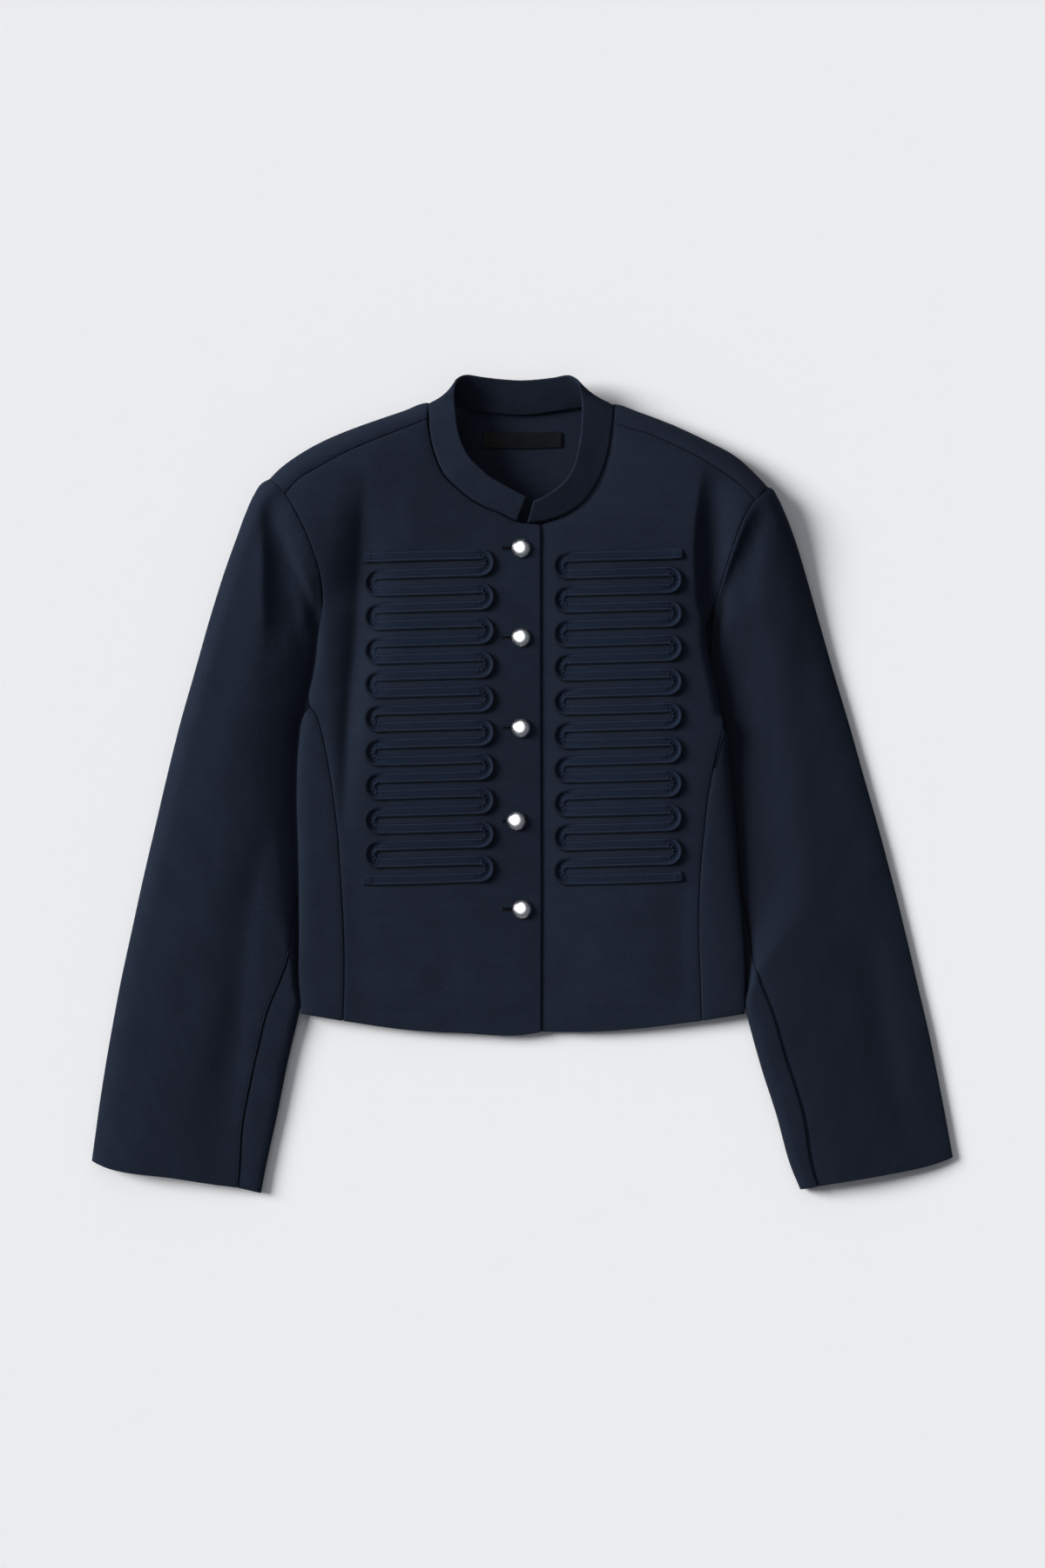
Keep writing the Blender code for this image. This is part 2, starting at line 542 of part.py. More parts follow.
class Sleeve:
    """The flattened tube of one sleeve: share across from its outer edge, share along from the armhole."""

    def __init__(self, armhole, cuff, outer, inner, heights, body_edge, folds):
        self.armhole = curve(armhole)
        self.seam_heights = [row[2] for row in armhole]
        self.seam_heights[6] -= 1.6
        self.cuff = curve(cuff)
        self.outer = curve(outer)
        self.inner = curve(inner)
        self.heights = heights
        self.body_edge = sorted((row[1], abs(row[0])) for row in body_edge)
        self.folds = folds

    def plan(self, across, along):
        start = self.armhole(across)[:2]
        sides = (1 - along) * start + along * self.cuff(across)
        sides = sides + (1 - across) * self.outer(along) + across * self.inner(along)
        corners = (1 - across) * (1 - along) * self.armhole(0.0)[:2] + across * (1 - along) * self.armhole(1.0)[:2]
        corners = corners + (1 - across) * along * self.cuff(0.0) + across * along * self.cuff(1.0)
        return sides - corners

    def upper(self, across, along):
        table = [(place,) + (value,) for place, value in zip(ACROSS_SLEEVE, table_value(self.heights, along))]
        laid = table_value(table, across)[0]
        seam = float(np.interp(across, self.armhole.reach[1:], self.seam_heights[1:]))
        blend = ease(along, 0.0, 0.16)
        x, y = self.plan(across, along)
        return seam * (1 - blend) + laid * blend - fold_depth(x, y, self.folds) * ease(along, 0.0, 0.05)

    def pressed(self, x, y):
        """The greatest height the body leaves for the sleeve, lowest below the body's side."""
        edge = float(np.interp(y, [row[0] for row in self.body_edge], [row[1] for row in self.body_edge]))
        free = 26.0 * ease(y, 144.0, 166.0) + 26.0 * ease(-y, 178.0, 212.0)
        outside = max(abs(x) - edge - 3.0, 0.0)
        return TUCKED_SLEEVE + free + 18.0 * (1 - math.exp(-outside / 15.0))

    def point(self, across, along, on_top):
        x, y = self.plan(across, along)
        wide = float(np.hypot(*(self.plan(1.0, along) - self.plan(0.0, along))))
        wide = wide if along > 0.15 else self.armhole.length * (1 - along / 0.15) + wide * along / 0.15
        outer_fold = SHOULDER_FOLD + (6.5 - SHOULDER_FOLD) * ease(along, 0.0, 0.5)
        inner_fold = 2.4 + 2.4 * ease(along, 0.5, 0.68)
        outer_reach = 17.0
        inner_reach = 3.0 + 6.0 * ease(along, 0.5, 0.68)
        from_outer = across * wide
        from_inner = (1 - across) * wide
        if on_top:
            top = max(min(self.upper(across, along), self.pressed(x, y)), TUCKED_SLEEVE)
            rise = roll(from_outer, outer_reach)
            z = outer_fold + (top - outer_fold) * rise
            return x, y, inner_fold + (z - inner_fold) * roll(from_inner, inner_reach)
        z = outer_fold * (1 - roll(from_outer, BACK_ROLL))
        return x, y, z + inner_fold * (1 - roll(from_inner, inner_reach))


def sleeve_grid(sleeve, loop, along):
    rows = []
    for place in along:
        row = []
        for across, on_top in loop(place):
            row.append(sleeve.point(across, place, on_top))
        rows.append(row)
    return np.array(rows)


def make_sleeve(side, sleeve, seam, made_of):
    """Both halves of a sleeve, split at the front seam and at a hidden back seam."""
    marks = sleeve.armhole.reach
    along = (0.0, 0.015, 0.04, 0.08, 0.13, 0.19, 0.26, 0.33, 0.40, 0.47, 0.54, 0.60, 0.67, 0.75, 0.83, 0.92, 1.0)

    def top_loop(place):
        front_seam = table_value(seam, place)[0]
        tops = [front_seam, (front_seam + marks[7]) / 2, marks[7], marks[6], marks[5], marks[4], marks[3], marks[2],
                marks[1], 0.035, 0.012, 0.002]
        if place > 0.5:
            tops = [front_seam * s for s in (1.0, 0.92, 0.83, 0.7, 0.58, 0.46, 0.35, 0.24, 0.14, 0.06, 0.02, 0.003)]
        loop = [(across, True) for across in tops]
        return loop + [(0.0, True), (0.004, False), (0.03, False), (0.09, False), (SLEEVE_BACK_SEAM, False)]

    def under_loop(place):
        front_seam = table_value(seam, place)[0]
        low = [SLEEVE_BACK_SEAM, marks[4], marks[5], marks[6], marks[7], marks[8], marks[9], 0.985, 0.997]
        if place > 0.3:
            low = [SLEEVE_BACK_SEAM, 0.33, 0.42, 0.54, 0.68, 0.8, 0.9, 0.965, 0.994]
        loop = [(across, False) for across in low] + [(1.0, True)]
        gap = 1.0 - front_seam
        return loop + [(1.0 - gap * s, True) for s in (0.06, 0.25, 0.6, 1.0)]

    edges = ("first_row", "first_column", "last_column")
    top = stand_back(sleeve_grid(sleeve, top_loop, along), edges)
    under = stand_back(sleeve_grid(sleeve, under_loop, along), edges)
    panel("top_sleeve_" + side, top, made_of, True)
    panel("under_sleeve_" + side, under, made_of, True)


def make_collar(made_of):
    """The band stands inside the neck seam and leans in at the front, back at the nape."""
    base = curve([row[:3] for row in COLLAR])
    top = curve([row[3:] for row in COLLAR])
    stations = 42
    rows = []
    for k in range(stations + 1):
        share = k / stations
        low = base(share)
        table = np.array(COLLAR)
        place = np.interp(share, base.reach, np.arange(len(table)))
        high = top(float(np.interp(place, np.arange(len(table)), top.reach)))
        before = base(share - 0.01)
        after = base(share + 0.01)
        out = np.cross(high - low, after - before)
        out /= np.linalg.norm(out)
        column = []
        for rise in (0.0, 0.34, 0.68, 1.0):
            bow = 1.2 * math.sin(math.pi * rise)
            column.append(low + (high - low) * rise + out * bow)
        rows.append(column)
    grid = np.array(rows)
    centre = np.array((-1.5, 290.0, 0.0))
    inward = centre - grid[:, 0]
    inward[:, 2] = 0.0
    inward /= np.linalg.norm(inward, axis=1)[:, None]
    grid += inward[:, None, :] * 1.3
    return panel("collar", grid, made_of, True, COLLAR_WALL)


def braid_line(side):
    """The tape's centre line in plan, run by run, with its turns."""
    inner_turn, outer_turn, free_end = (-36.5, -123.5, -136.5) if side == "right" else (38.7, 124.8, 137.0)
    pitch = BRAID["pitch"]
    line = []
    for run in range(BRAID["runs"]):
        y = BRAID["first_y"] - run * pitch
        outward = run % 2 == 1
        start, end = (inner_turn, outer_turn) if outward else (outer_turn, inner_turn)
        if run == 0:
            start = free_end
        if run == BRAID["runs"] - 1:
            end = free_end
        for share in (0.0, 0.25, 0.5, 0.75, 1.0):
            line.append((start + (end - start) * share, y))
        if run < BRAID["runs"] - 1:
            way = math.copysign(1.0, end - start)
            for step in range(1, 6):
                angle = math.pi * step / 6
                line.append((end + way * BRAID["turn"] * math.sin(angle),
                             y - BRAID["turn"] * (1 - math.cos(angle))))
    tilt = 2.6 / 90.0
    centre = (inner_turn + outer_turn) / 2
    return [(x, y + (x - centre) * tilt) for x, y in line]


def make_braid(side, cover, made_of):
    line = np.array(braid_line(side))
    ahead = np.gradient(line, axis=0)
    ahead /= np.linalg.norm(ahead, axis=1)[:, None]
    across = np.stack((-ahead[:, 1], ahead[:, 0]), axis=1)
    half = BRAID["wide"] / 2
    edges = [line + across * half, line - across * half]
    lows = []
    for index in range(len(line)):
        near = range(max(index - 1, 0), min(index + 2, len(line)))
        pair = []
        for edge in edges:
            here = height(cover, *edge[index])
            between = []
            for other in near:
                middle = (edge[index] + edge[other]) / 2
                chord = (here + height(cover, *edge[other])) / 2
                between.append(height(cover, *middle) - chord)
            pair.append(here + 0.42 + max(0.0, max(between)))
        centre = height(cover, *line[index])
        short = max(0.0, centre + 0.36 - sum(pair) / 2)
        lows.append([pair[0] + short, pair[1] + short])
    points = []
    for index in range(len(line)):
        for lift in (0.0, BRAID["thick"]):
            for edge, low in zip(edges, lows[index]):
                points.append((edge[index][0], edge[index][1], low + lift))
    faces = []
    for index in range(len(line) - 1):
        a = index * 4
        b = a + 4
        faces.append((a + 2, a + 3, b + 3, b + 2))
        faces.append((a + 1, a, b, b + 1))
        faces.append((a, a + 2, b + 2, b))
        faces.append((a + 3, a + 1, b + 1, b + 3))
    last = (len(line) - 1) * 4
    faces.append((0, 1, 3, 2))
    faces.append((last + 1, last, last + 2, last + 3))
    return mesh_object("braid_" + side, points, faces, made_of)


def make_label(made_of):
    x0, x1 = LABEL["x"]
    y0, y1 = LABEL["y"]
    low = CLOTH + 0.5
    columns = 7
    points = []
    for k in range(columns):
        x = x0 + (x1 - x0) * k / (columns - 1)
        sag = 1.0 * math.sin(math.pi * k / (columns - 1))
        for y in (y0 - sag, y1 - sag * 0.4):
            for z in (low, low + LABEL["thick"]):
                points.append((x, y, z))
    faces = []
    for k in range(columns - 1):
        a = k * 4
        b = a + 4
        faces.append((a + 1, b + 1, b + 3, a + 3))
        faces.append((a, a + 2, b + 2, b))
        faces.append((a, b, b + 1, a + 1))
        faces.append((a + 2, a + 3, b + 3, b + 2))
    last = (columns - 1) * 4
    faces.append((0, 1, 3, 2))
    faces.append((last, last + 2, last + 3, last + 1))
    return mesh_object("label", points, faces, made_of)


def make_button(number, x, y, cloth_top, under_top, made_of):
    """A hollow-looking metal dome with a flat rim, and its shank down through the buttonhole."""
    rest = cloth_top + 0.35
    profile = [(BUTTON_RADIUS - 1.2, 0.0), (BUTTON_RADIUS, 0.7), (BUTTON_RADIUS - 0.35, 1.5),
               (BUTTON_RADIUS * 0.80, 3.1), (BUTTON_RADIUS * 0.48, 4.4)]
    sides = 20
    points = []
    for radius, z in profile:
        for k in range(sides):
            angle = 2 * math.pi * (k + 0.5) / sides
            points.append((x + radius * math.cos(angle), y + radius * math.sin(angle), rest + z))
    crown = len(points)
    points.append((x, y, rest + 4.9))
    faces = []
    for ring in range(len(profile) - 1):
        for k in range(sides):
            a = ring * sides + k
            b = ring * sides + (k + 1) % sides
            faces.append((a, b, b + sides, a + sides))
    last = (len(profile) - 1) * sides
    for k in range(sides):
        faces.append((last + k, last + (k + 1) % sides, crown))
    start = len(points)
    shank_x = (x - 2.1, x + 2.1)
    shank_y = (y - 1.0, y + 1.0)
    shank_low = under_top + 0.3
    corners = [(shank_x[0], shank_y[0]), (shank_x[1], shank_y[0]), (shank_x[1], shank_y[1]), (shank_x[0], shank_y[1])]
    for z in (rest, shank_low):
        for cx, cy in corners:
            points.append((cx, cy, z))
    for k in range(4):
        a = start + k
        b = start + (k + 1) % 4
        faces.append((b, a, a + 4, b + 4))
    faces.append((start + 7, start + 6, start + 5, start + 4))
    rim = list(range(sides))
    for k in range(4):
        quarter = [rim[(k * 5 + 10 + s) % sides] for s in range(6)]
        pivot = start + k
        for a, b in zip(quarter[:-1], quarter[1:]):
            faces.append((b, a, pivot))
        faces.append((quarter[-1], pivot, start + (k + 1) % 4))
    return mesh_object("button_%d" % number, points, faces, made_of)


def cut_buttonhole(front, number, x, y, z):
    """A worked slit across the right front under its button."""
    left = BUTTONHOLE["left"]
    right = x + BUTTONHOLE["past_button"]
    half = BUTTONHOLE["wide"] / 2
    points = []
    for cx, cy in ((left, y - half), (right, y - half), (right, y + half), (left, y + half)):
        points.append((cx, cy, z - 9.0))
        points.append((cx, cy, z + 9.0))
    faces = [(0, 2, 3, 1), (2, 4, 5, 3), (4, 6, 7, 5), (6, 0, 1, 7), (0, 6, 4, 2), (1, 3, 5, 7)]
    cutter = mesh_object("cut_buttonhole_%d" % number, points, faces, front.data.materials[0])
    cutter.hide_render = True
    cutter.display_type = "WIRE"
    slot = front.modifiers.new("buttonhole_%d" % number, "BOOLEAN")
    slot.operation = "DIFFERENCE"
    slot.solver = "EXACT"
    slot.object = cutter


def main():
    clear_scene()
    twill = material("navy_twill", 0.0, 0.85)
    tape = material("navy_braid", 0.0, 0.75)
    woven = material("label_black", 0.0, 0.8)
    metal = material("satin_silver", 1.0, 0.3)
    right = front_right_grid()
    right_faces = grid_faces(*right.shape[:2])
    left, lap = front_left_grids(surface(right.reshape(-1, 3), right_faces))
    seams = ("first_column", "last_row")
    right = stand_back(right, seams)
    left = stand_back(left, seams)
    front_right = panel("front_right", right, twill)
    left_mesh = make_front_left(left, lap, twill)[1]
    make_back(twill)
    side_right = side_panel_grid(PRINCESS_RIGHT, SIDE_FOLD_RIGHT, -1.0)
    side_left = side_panel_grid(PRINCESS_LEFT, SIDE_FOLD_LEFT, 1.0)
    side_edges = ("first_column", "last_column", "last_row")
    panel("side_front_right", stand_back(side_right, side_edges), twill, True)
    panel("side_front_left", stand_back(side_left, side_edges), twill, True)
    sleeve_right = Sleeve(ARMHOLE_RIGHT, CUFF_RIGHT, SLEEVE_OUTER_RIGHT, SLEEVE_INNER_RIGHT, SLEEVE_HEIGHT_RIGHT,
                          SIDE_FOLD_RIGHT + OVER_SLEEVE_RIGHT, SLEEVE_FOLDS)
    sleeve_left = Sleeve(ARMHOLE_LEFT, CUFF_LEFT, SLEEVE_OUTER_LEFT, SLEEVE_INNER_LEFT, SLEEVE_HEIGHT_LEFT,
                         SIDE_FOLD_LEFT + OVER_SLEEVE_LEFT, SLEEVE_FOLDS)
    make_sleeve("right", sleeve_right, SLEEVE_SEAM_RIGHT, twill)
    make_sleeve("left", sleeve_left, SLEEVE_SEAM_LEFT, twill)
    make_collar(twill)
    over_right = surface(right.reshape(-1, 3), right_faces)
    over_left = surface(*left_mesh)
    make_braid("right", over_right, tape)
    make_braid("left", over_left, tape)
    make_label(woven)
    for number, (x, y) in enumerate(BUTTONS, 1):
        spots = [height(over_right, x + dx, y + dy) for dx in (-7.0, 0.0, 7.0) for dy in (-7.0, 0.0, 7.0)]
        under = [height(over_left, x + dx, y + dy) for dx in (-2.0, 2.0) for dy in (-1.0, 1.0)]
        make_button(number, x, y, max(spots), max(under), metal)
        cut_buttonhole(front_right, number, x, y, max(spots))


main()
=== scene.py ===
import math

import bpy
import numpy as np
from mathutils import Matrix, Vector
from mathutils.bvhtree import BVHTree


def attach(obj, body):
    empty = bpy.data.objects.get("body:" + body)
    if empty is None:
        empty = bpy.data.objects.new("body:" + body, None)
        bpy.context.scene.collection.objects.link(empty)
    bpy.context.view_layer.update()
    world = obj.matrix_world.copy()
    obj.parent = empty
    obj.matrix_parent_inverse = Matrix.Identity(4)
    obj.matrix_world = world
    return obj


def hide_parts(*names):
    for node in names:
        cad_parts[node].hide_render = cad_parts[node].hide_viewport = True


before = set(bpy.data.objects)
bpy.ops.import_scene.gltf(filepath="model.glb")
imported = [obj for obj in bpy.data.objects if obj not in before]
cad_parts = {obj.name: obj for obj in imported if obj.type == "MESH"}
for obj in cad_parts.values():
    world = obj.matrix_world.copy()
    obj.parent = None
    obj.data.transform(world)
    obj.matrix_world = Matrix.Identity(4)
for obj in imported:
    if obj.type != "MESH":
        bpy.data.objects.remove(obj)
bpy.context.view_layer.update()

# Cropped stand-collar jacket, laid flat on its back. Tables are in millimetres, the mesh is in metres.
mm = 0.001

cloth = {
    "wall": 1.2,            # thickness of one layer of the twill
    "seamGap": 0.08,        # half the slit that shows between two sewn panels
    "seamDip": 0.75,        # how far the cloth turns down into a seam
    "mesh": 2.7,            # usual size of a mesh cell
    "layerGap": 0.6,        # air between layers that lie on each other
    "backRoll": 15.0,       # how far the lower layer lifts towards the shoulder fold
    "shoulderFold": 12.0,   # height of the shoulder fold line
    "tuckedSleeve": 4.6,    # height of a sleeve where the body lies on it
    "bodyUnder": 5.8,       # underside of the body where it lies on a sleeve
}

# Seam lines: x, y, z of the cloth's outer face, upwards from the hem.
princessRight = [
    (-154.2, -203, 11), (-153.3, -165, 11.8), (-153.7, -130, 12.5), (-155, -100, 13.2),
    (-156.8, -70, 14), (-158.5, -46, 14.5), (-161, -23, 15), (-164, 0, 15),
    (-168, 23, 15), (-172.5, 44, 14.6), (-177, 58.5, 14), (-182, 66, 13.2),
]
princessLeft = [
    (154, -203, 11), (153.2, -174, 12), (152.2, -148, 13.2), (151.8, -120, 14.4),
    (152.3, -90, 15.8), (154, -62, 17.2), (156.5, -38, 18.2), (159, -15, 18.8),
    (163, 8, 19.2), (167, 27, 19.4), (170, 38, 19.4), (172.3, 47, 19.4),
]
sideFoldRight = [
    (-190.5, -197), (-192.6, -166), (-192.2, -132), (-192.2, -102),
    (-192.6, -72), (-193.2, -46), (-194, -22), (-194, 0),
    (-193.5, 18), (-192, 38), (-190, 53), (-187, 61),
]
sideFoldLeft = [
    (191.2, -197), (191.6, -174), (191, -148), (189.5, -120),
    (187, -90), (185.3, -62), (183.5, -37), (181.5, -14),
    (179.6, 8), (178, 24), (177, 34), (176.6, 42),
]
# The front's own edge where it lies over the sleeve, below the armhole seam that shows.
overSleeveRight = [(-184, 74, 12), (-181, 90, 12), (-178.5, 104, 12.4), (-176, 127, 13.2)]
overSleeveLeft = [(170.5, 62, 19.4), (166, 88, 19.6), (160, 114, 19.4), (158.5, 136, 18)]
armholeRight = [
    (-217.2, 262.2, 12), (-203.7, 249.2, 27), (-194.2, 233, 29.5), (-186, 216.5, 29.5),
    (-179.7, 200.3, 27), (-174.7, 184.2, 22.5), (-171.5, 155.7, 14.5), (-168, 127.2, 6.4),
    (-164.5, 95, 4.8), (-159, 68, 4.6), (-148, 50, 4.6),
]
armholeLeft = [
    (210.8, 255.2, 12), (199.5, 244, 26.5), (191.2, 231.5, 29), (184.8, 216.5, 29),
    (178, 197, 26.5), (172.5, 179, 22), (165.6, 155, 14.5), (162.5, 127, 6.4),
    (161, 95, 4.8), (157, 68, 4.6), (147, 50, 4.6),
]
shoulderSeamRight = [
    (-203.7, 249.2, 27), (-191, 262.2, 27.5), (-174.5, 272, 27.5), (-158.7, 281, 27),
    (-134, 292.2, 26.5), (-109.6, 302, 26), (-82.2, 312.5, 25.5),
]
shoulderSeamLeft = [
    (199.5, 244, 26.5), (186.3, 257, 27), (163.8, 272.7, 27), (139, 286.5, 27),
    (106.8, 300.5, 26.5), (79.8, 308.7, 25.5),
]
shoulderRight = [
    (-217.2, 262.2), (-209, 270.5), (-194, 281.7), (-174.5, 293),
    (-150.5, 303.5), (-125.7, 312.5), (-101.7, 320.7), (-82.2, 327.5),
]
shoulderLeft = [
    (210.8, 255.2), (202.8, 263.7), (184.8, 280.2), (155.5, 296.3),
    (122.9, 311), (100, 319.5), (79.8, 326.3),
]
neckRight = [
    (-82.2, 312.5, 25.5), (-80.5, 300, 25.8), (-76, 281.7, 26), (-68, 264.5, 25.5),
    (-55.2, 251.7, 25), (-44, 242.7, 24.5), (-32.3, 236.2, 24), (-20.7, 231.5, 23.5),
    (-5.4, 224.2, 23), (14.9, 221.9, 22.5),
]
neckLeft = [
    (79.8, 308.7, 25.5), (78.5, 302.2, 25.8), (74.5, 279.5, 26), (65.3, 256.3, 25.5),
    (53.9, 240.8, 25), (36.6, 229.4, 23.5), (19.5, 222.8, 22),
]
backNeck = [
    (-82.2, 327.5, 12), (-72, 326.4, 6.8), (-59.2, 325.2, 1.8), (-40.2, 322.4, 0.8),
    (-20.7, 320.1, 0.6), (-3.5, 319.2, 0.6), (13.8, 320.1, 0.6), (31, 322.4, 0.8),
    (52.8, 325.4, 1.8), (69, 326.4, 6.8), (79.8, 326.3, 12),
]


def clamp(value, low=0.0, high=1.0):
    return np.minimum(np.maximum(value, low), high)


def easeBetween(value, low, high):
    share = clamp((np.asarray(value, float) - low) / (high - low))
    return share * share * (3 - 2 * share)


def quarterRound(distance, reach):
    # rise of a rounded fold: 0 at the fold line, 1 past its reach
    share = clamp(np.asarray(distance, float) / reach)
    return np.sqrt(1.0 - (1.0 - share) ** 2)


def lengthsAlong(line):
    # length from the first point to each point
    return np.concatenate(([0.0], np.cumsum(np.linalg.norm(np.diff(line, axis=0), axis=1))))


def curveBetween(f, first, last, leaving, arriving):
    # goes from first to last while f goes from 0 to 1, with a slope at each end
    early = first * (2 * f**3 - 3 * f**2 + 1) + leaving * (f**3 - 2 * f**2 + f)
    return early + last * (3 * f**2 - 2 * f**3) + arriving * (f**3 - f**2)


def smoothLine(rows):
    # a smooth line through the rows, read by its share of the length
    points = np.array(rows, float)
    lengths = lengthsAlong(points)
    reach = lengths / lengths[-1]
    slopes = np.gradient(points, reach, axis=0)

    def at(share):
        place = clamp(np.asarray(share, float))
        index = np.clip(np.searchsorted(reach, place, side="right") - 1, 0, len(points) - 2)
        span = (reach[index + 1] - reach[index])[..., None]
        f = (place - reach[index])[..., None] / span
        leaving, arriving = slopes[index] * span, slopes[index + 1] * span
        return curveBetween(f, points[index], points[index + 1], leaving, arriving)

    at.reach = reach
    at.length = lengths[-1]
    return at


def planPath(rows, count):
    # a seam as seen from above, as a row of points
    return smoothLine([row[:2] for row in rows])(np.linspace(0, 1, count))


def joinLines(first, second):
    corner = first.length / (first.length + second.length)

    def at(share):
        share = np.asarray(share, float)
        early = first(np.minimum(share, corner) / corner)
        late = second((np.maximum(share, corner) - corner) / (1 - corner))
        return np.where((share <= corner)[..., None], early, late)

    at.corner = corner
    return at


def tableValue(rows, share):
    # a smooth value from rows of (share, value, ...)
    table = np.array(rows, float)
    where = np.interp(share, table[:, 0], np.arange(len(table)))
    index = np.minimum(np.asarray(where).astype(int), len(table) - 2)
    f = where - index
    blend = np.asarray(f * f * (3 - 2 * f))[..., None]
    return table[index, 1:] * (1 - blend) + table[index + 1, 1:] * blend


def sharesAlong(length, step, nearStart=(), nearEnd=()):
    # places from 0 to 1 at one step, with closer ones in mm from either end
    low = nearStart[-1] if nearStart else 0.0
    high = length - (nearEnd[-1] if nearEnd else 0.0)
    count = max(int(round((high - low) / step)), 1)
    places = [0.0] + list(nearStart[:-1]) + list(np.linspace(low, high, count + 1))
    places += [length - gap for gap in reversed(nearEnd[:-1])] + [length]
    return np.unique(np.round(np.array(places) / length, 7))


def gridPatch(bottom, top, left, right, across, along):
    # a smooth grid between four edge lines that meet at its corners
    u = np.asarray(across)[None, :, None]
    v = np.asarray(along)[:, None, None]
    sides = (1 - v) * bottom(across)[None] + v * top(across)[None]
    sides = sides + (1 - u) * left(along)[:, None] + u * right(along)[:, None]
    corners = (1 - u) * (1 - v) * bottom(0.0) + u * (1 - v) * bottom(1.0)
    return sides - corners - (1 - u) * v * top(0.0) - u * v * top(1.0)


def nearPath(x, y, path):
    # distance to a path, positive on its left, and how far along it
    gap = np.full(x.shape, 1e9)
    share = np.zeros(x.shape)
    for index in range(len(path) - 1):
        line = path[index + 1] - path[index]
        reach = ((x - path[index, 0]) * line[0] + (y - path[index, 1]) * line[1]) / line.dot(line)
        reach = clamp(reach)
        dx = x - path[index, 0] - reach * line[0]
        dy = y - path[index, 1] - reach * line[1]
        away = np.hypot(dx, dy)
        side = np.where(line[0] * dy - line[1] * dx < 0, -1.0, 1.0)
        nearer = away < np.abs(gap)
        gap = np.where(nearer, away * side, gap)
        share = np.where(nearer, (index + reach) / (len(path) - 1), share)
    return gap, share


def foldRelief(x, y, folds):
    # how far folds press the cloth down: x, y, depth and the widths on the left and right of each path;
    # its right side is soft, has a crest at the far side, or has a crease at the path
    total = np.zeros(x.shape)
    steps = np.linspace(0, 1, 28)
    for shape, rows in folds:
        fold = smoothLine(rows)(steps)
        gap, share = nearPath(x, y, fold[:, :2])
        deep, onLeft, onRight = [np.interp(share, steps, fold[:, k]) for k in (2, 3, 4)]
        across = np.abs(gap) / onRight
        sides = {"soft": np.exp(-across ** 2), "crest": clamp(1 - across ** 2) ** 1.15,
                 "crease": clamp(1 - across / 1.15) ** 1.8}
        total += deep * np.where(gap < 0, sides[shape], np.exp(-(gap / onLeft) ** 2))
    return total


def lesser(first, second, blend):
    # the smaller of two heights, rounded where they cross
    gap = clamp(0.5 + 0.5 * (second - first) / blend)
    return second * (1 - gap) + first * gap - blend * gap * (1 - gap)


def looseCloth(x, y, height, shift=0.0):
    # the slight unevenness of cloth that lies under its own weight
    waves = np.sin(x / 23.0 + y / 61.0 + shift) + 0.8 * np.sin(y / 37.0 - x / 49.0 + 2.1 * shift)
    waves += 0.5 * np.sin(x / 11.0 - y / 17.0 + 0.7 * shift) + 0.35 * np.sin(x / 8.0 + y / 13.0 + 3.3 + shift)
    return height * waves / 2.0


def seamProfile(distance):
    # a pressed seam: a narrow turn down, in a wider soft valley
    sharp = np.exp(-(distance / 1.5) ** 2)
    return cloth["seamDip"] * (0.62 * sharp + 0.38 * np.exp(-(distance / 5.0) ** 2))


def seamDip(x, y, seams):
    total = np.zeros(x.shape)
    for seam in seams:
        total = np.maximum(total, seamProfile(np.abs(nearPath(x, y, planPath(seam, 50))[0])))
    return total


def standBack(grid, sides, gap=cloth["wall"] / 2 + cloth["seamGap"]):
    # draws the named edges of a grid in, so that two rounded edges just meet
    moved = grid.copy()
    pairs = {"firstRow": (0, 1, 0), "lastRow": (-1, -2, 0),
             "firstColumn": (0, 1, 1), "lastColumn": (-1, -2, 1)}
    for side in sides:
        edge, inner, axis = pairs[side]
        line = np.take(grid, edge, axis=axis)
        toward = np.take(grid, inner, axis=axis) - line
        toward /= np.linalg.norm(toward, axis=1)[:, None]
        if axis == 0:
            moved[edge] += toward * gap
        else:
            moved[:, edge] += toward * gap
    return moved


def gridQuads(rows, columns, start=0):
    a = start + np.arange(rows - 1)[:, None] * columns + np.arange(columns - 1)[None, :]
    return np.stack((a, a + 1, a + columns + 1, a + columns), axis=-1).reshape(-1, 4)


def arcWeave(grid):
    # lengths round and along the cloth, so that its weave runs true
    around = np.linalg.norm(np.diff(grid, axis=1), axis=2)
    along = np.linalg.norm(np.diff(grid, axis=0), axis=2)
    u = np.concatenate((np.zeros((grid.shape[0], 1)), np.cumsum(around, axis=1)), axis=1)
    v = np.concatenate((np.zeros((1, grid.shape[1])), np.cumsum(along, axis=0)), axis=0)
    return np.stack((u, v), axis=-1).reshape(-1, 2)


def unitRows(rows):
    return rows / np.maximum(np.linalg.norm(rows, axis=-1, keepdims=True), 1e-9)


def meshPiece(name, points, faces, weave, finish):
    mesh = bpy.data.meshes.new(name)
    mesh.from_pydata((np.asarray(points) * mm).tolist(), [], [list(map(int, face)) for face in faces])
    mesh.update()
    mesh.shade_smooth()
    mesh.materials.append(finish)
    if weave is not None:
        loops = np.zeros(len(mesh.loops), dtype=np.int32)
        mesh.loops.foreach_get("vertex_index", loops)
        layer = mesh.uv_layers.new(name="weave")
        layer.uv.foreach_set("vector", (np.asarray(weave)[loops] * mm).astype(np.float32).ravel())
    piece = bpy.data.objects.new(name, mesh)
    bpy.context.scene.collection.objects.link(piece)
    return piece


def faceNormals(points, quads):
    corners = points[quads]
    return np.cross(corners[:, 2] - corners[:, 0], corners[:, 3] - corners[:, 1])


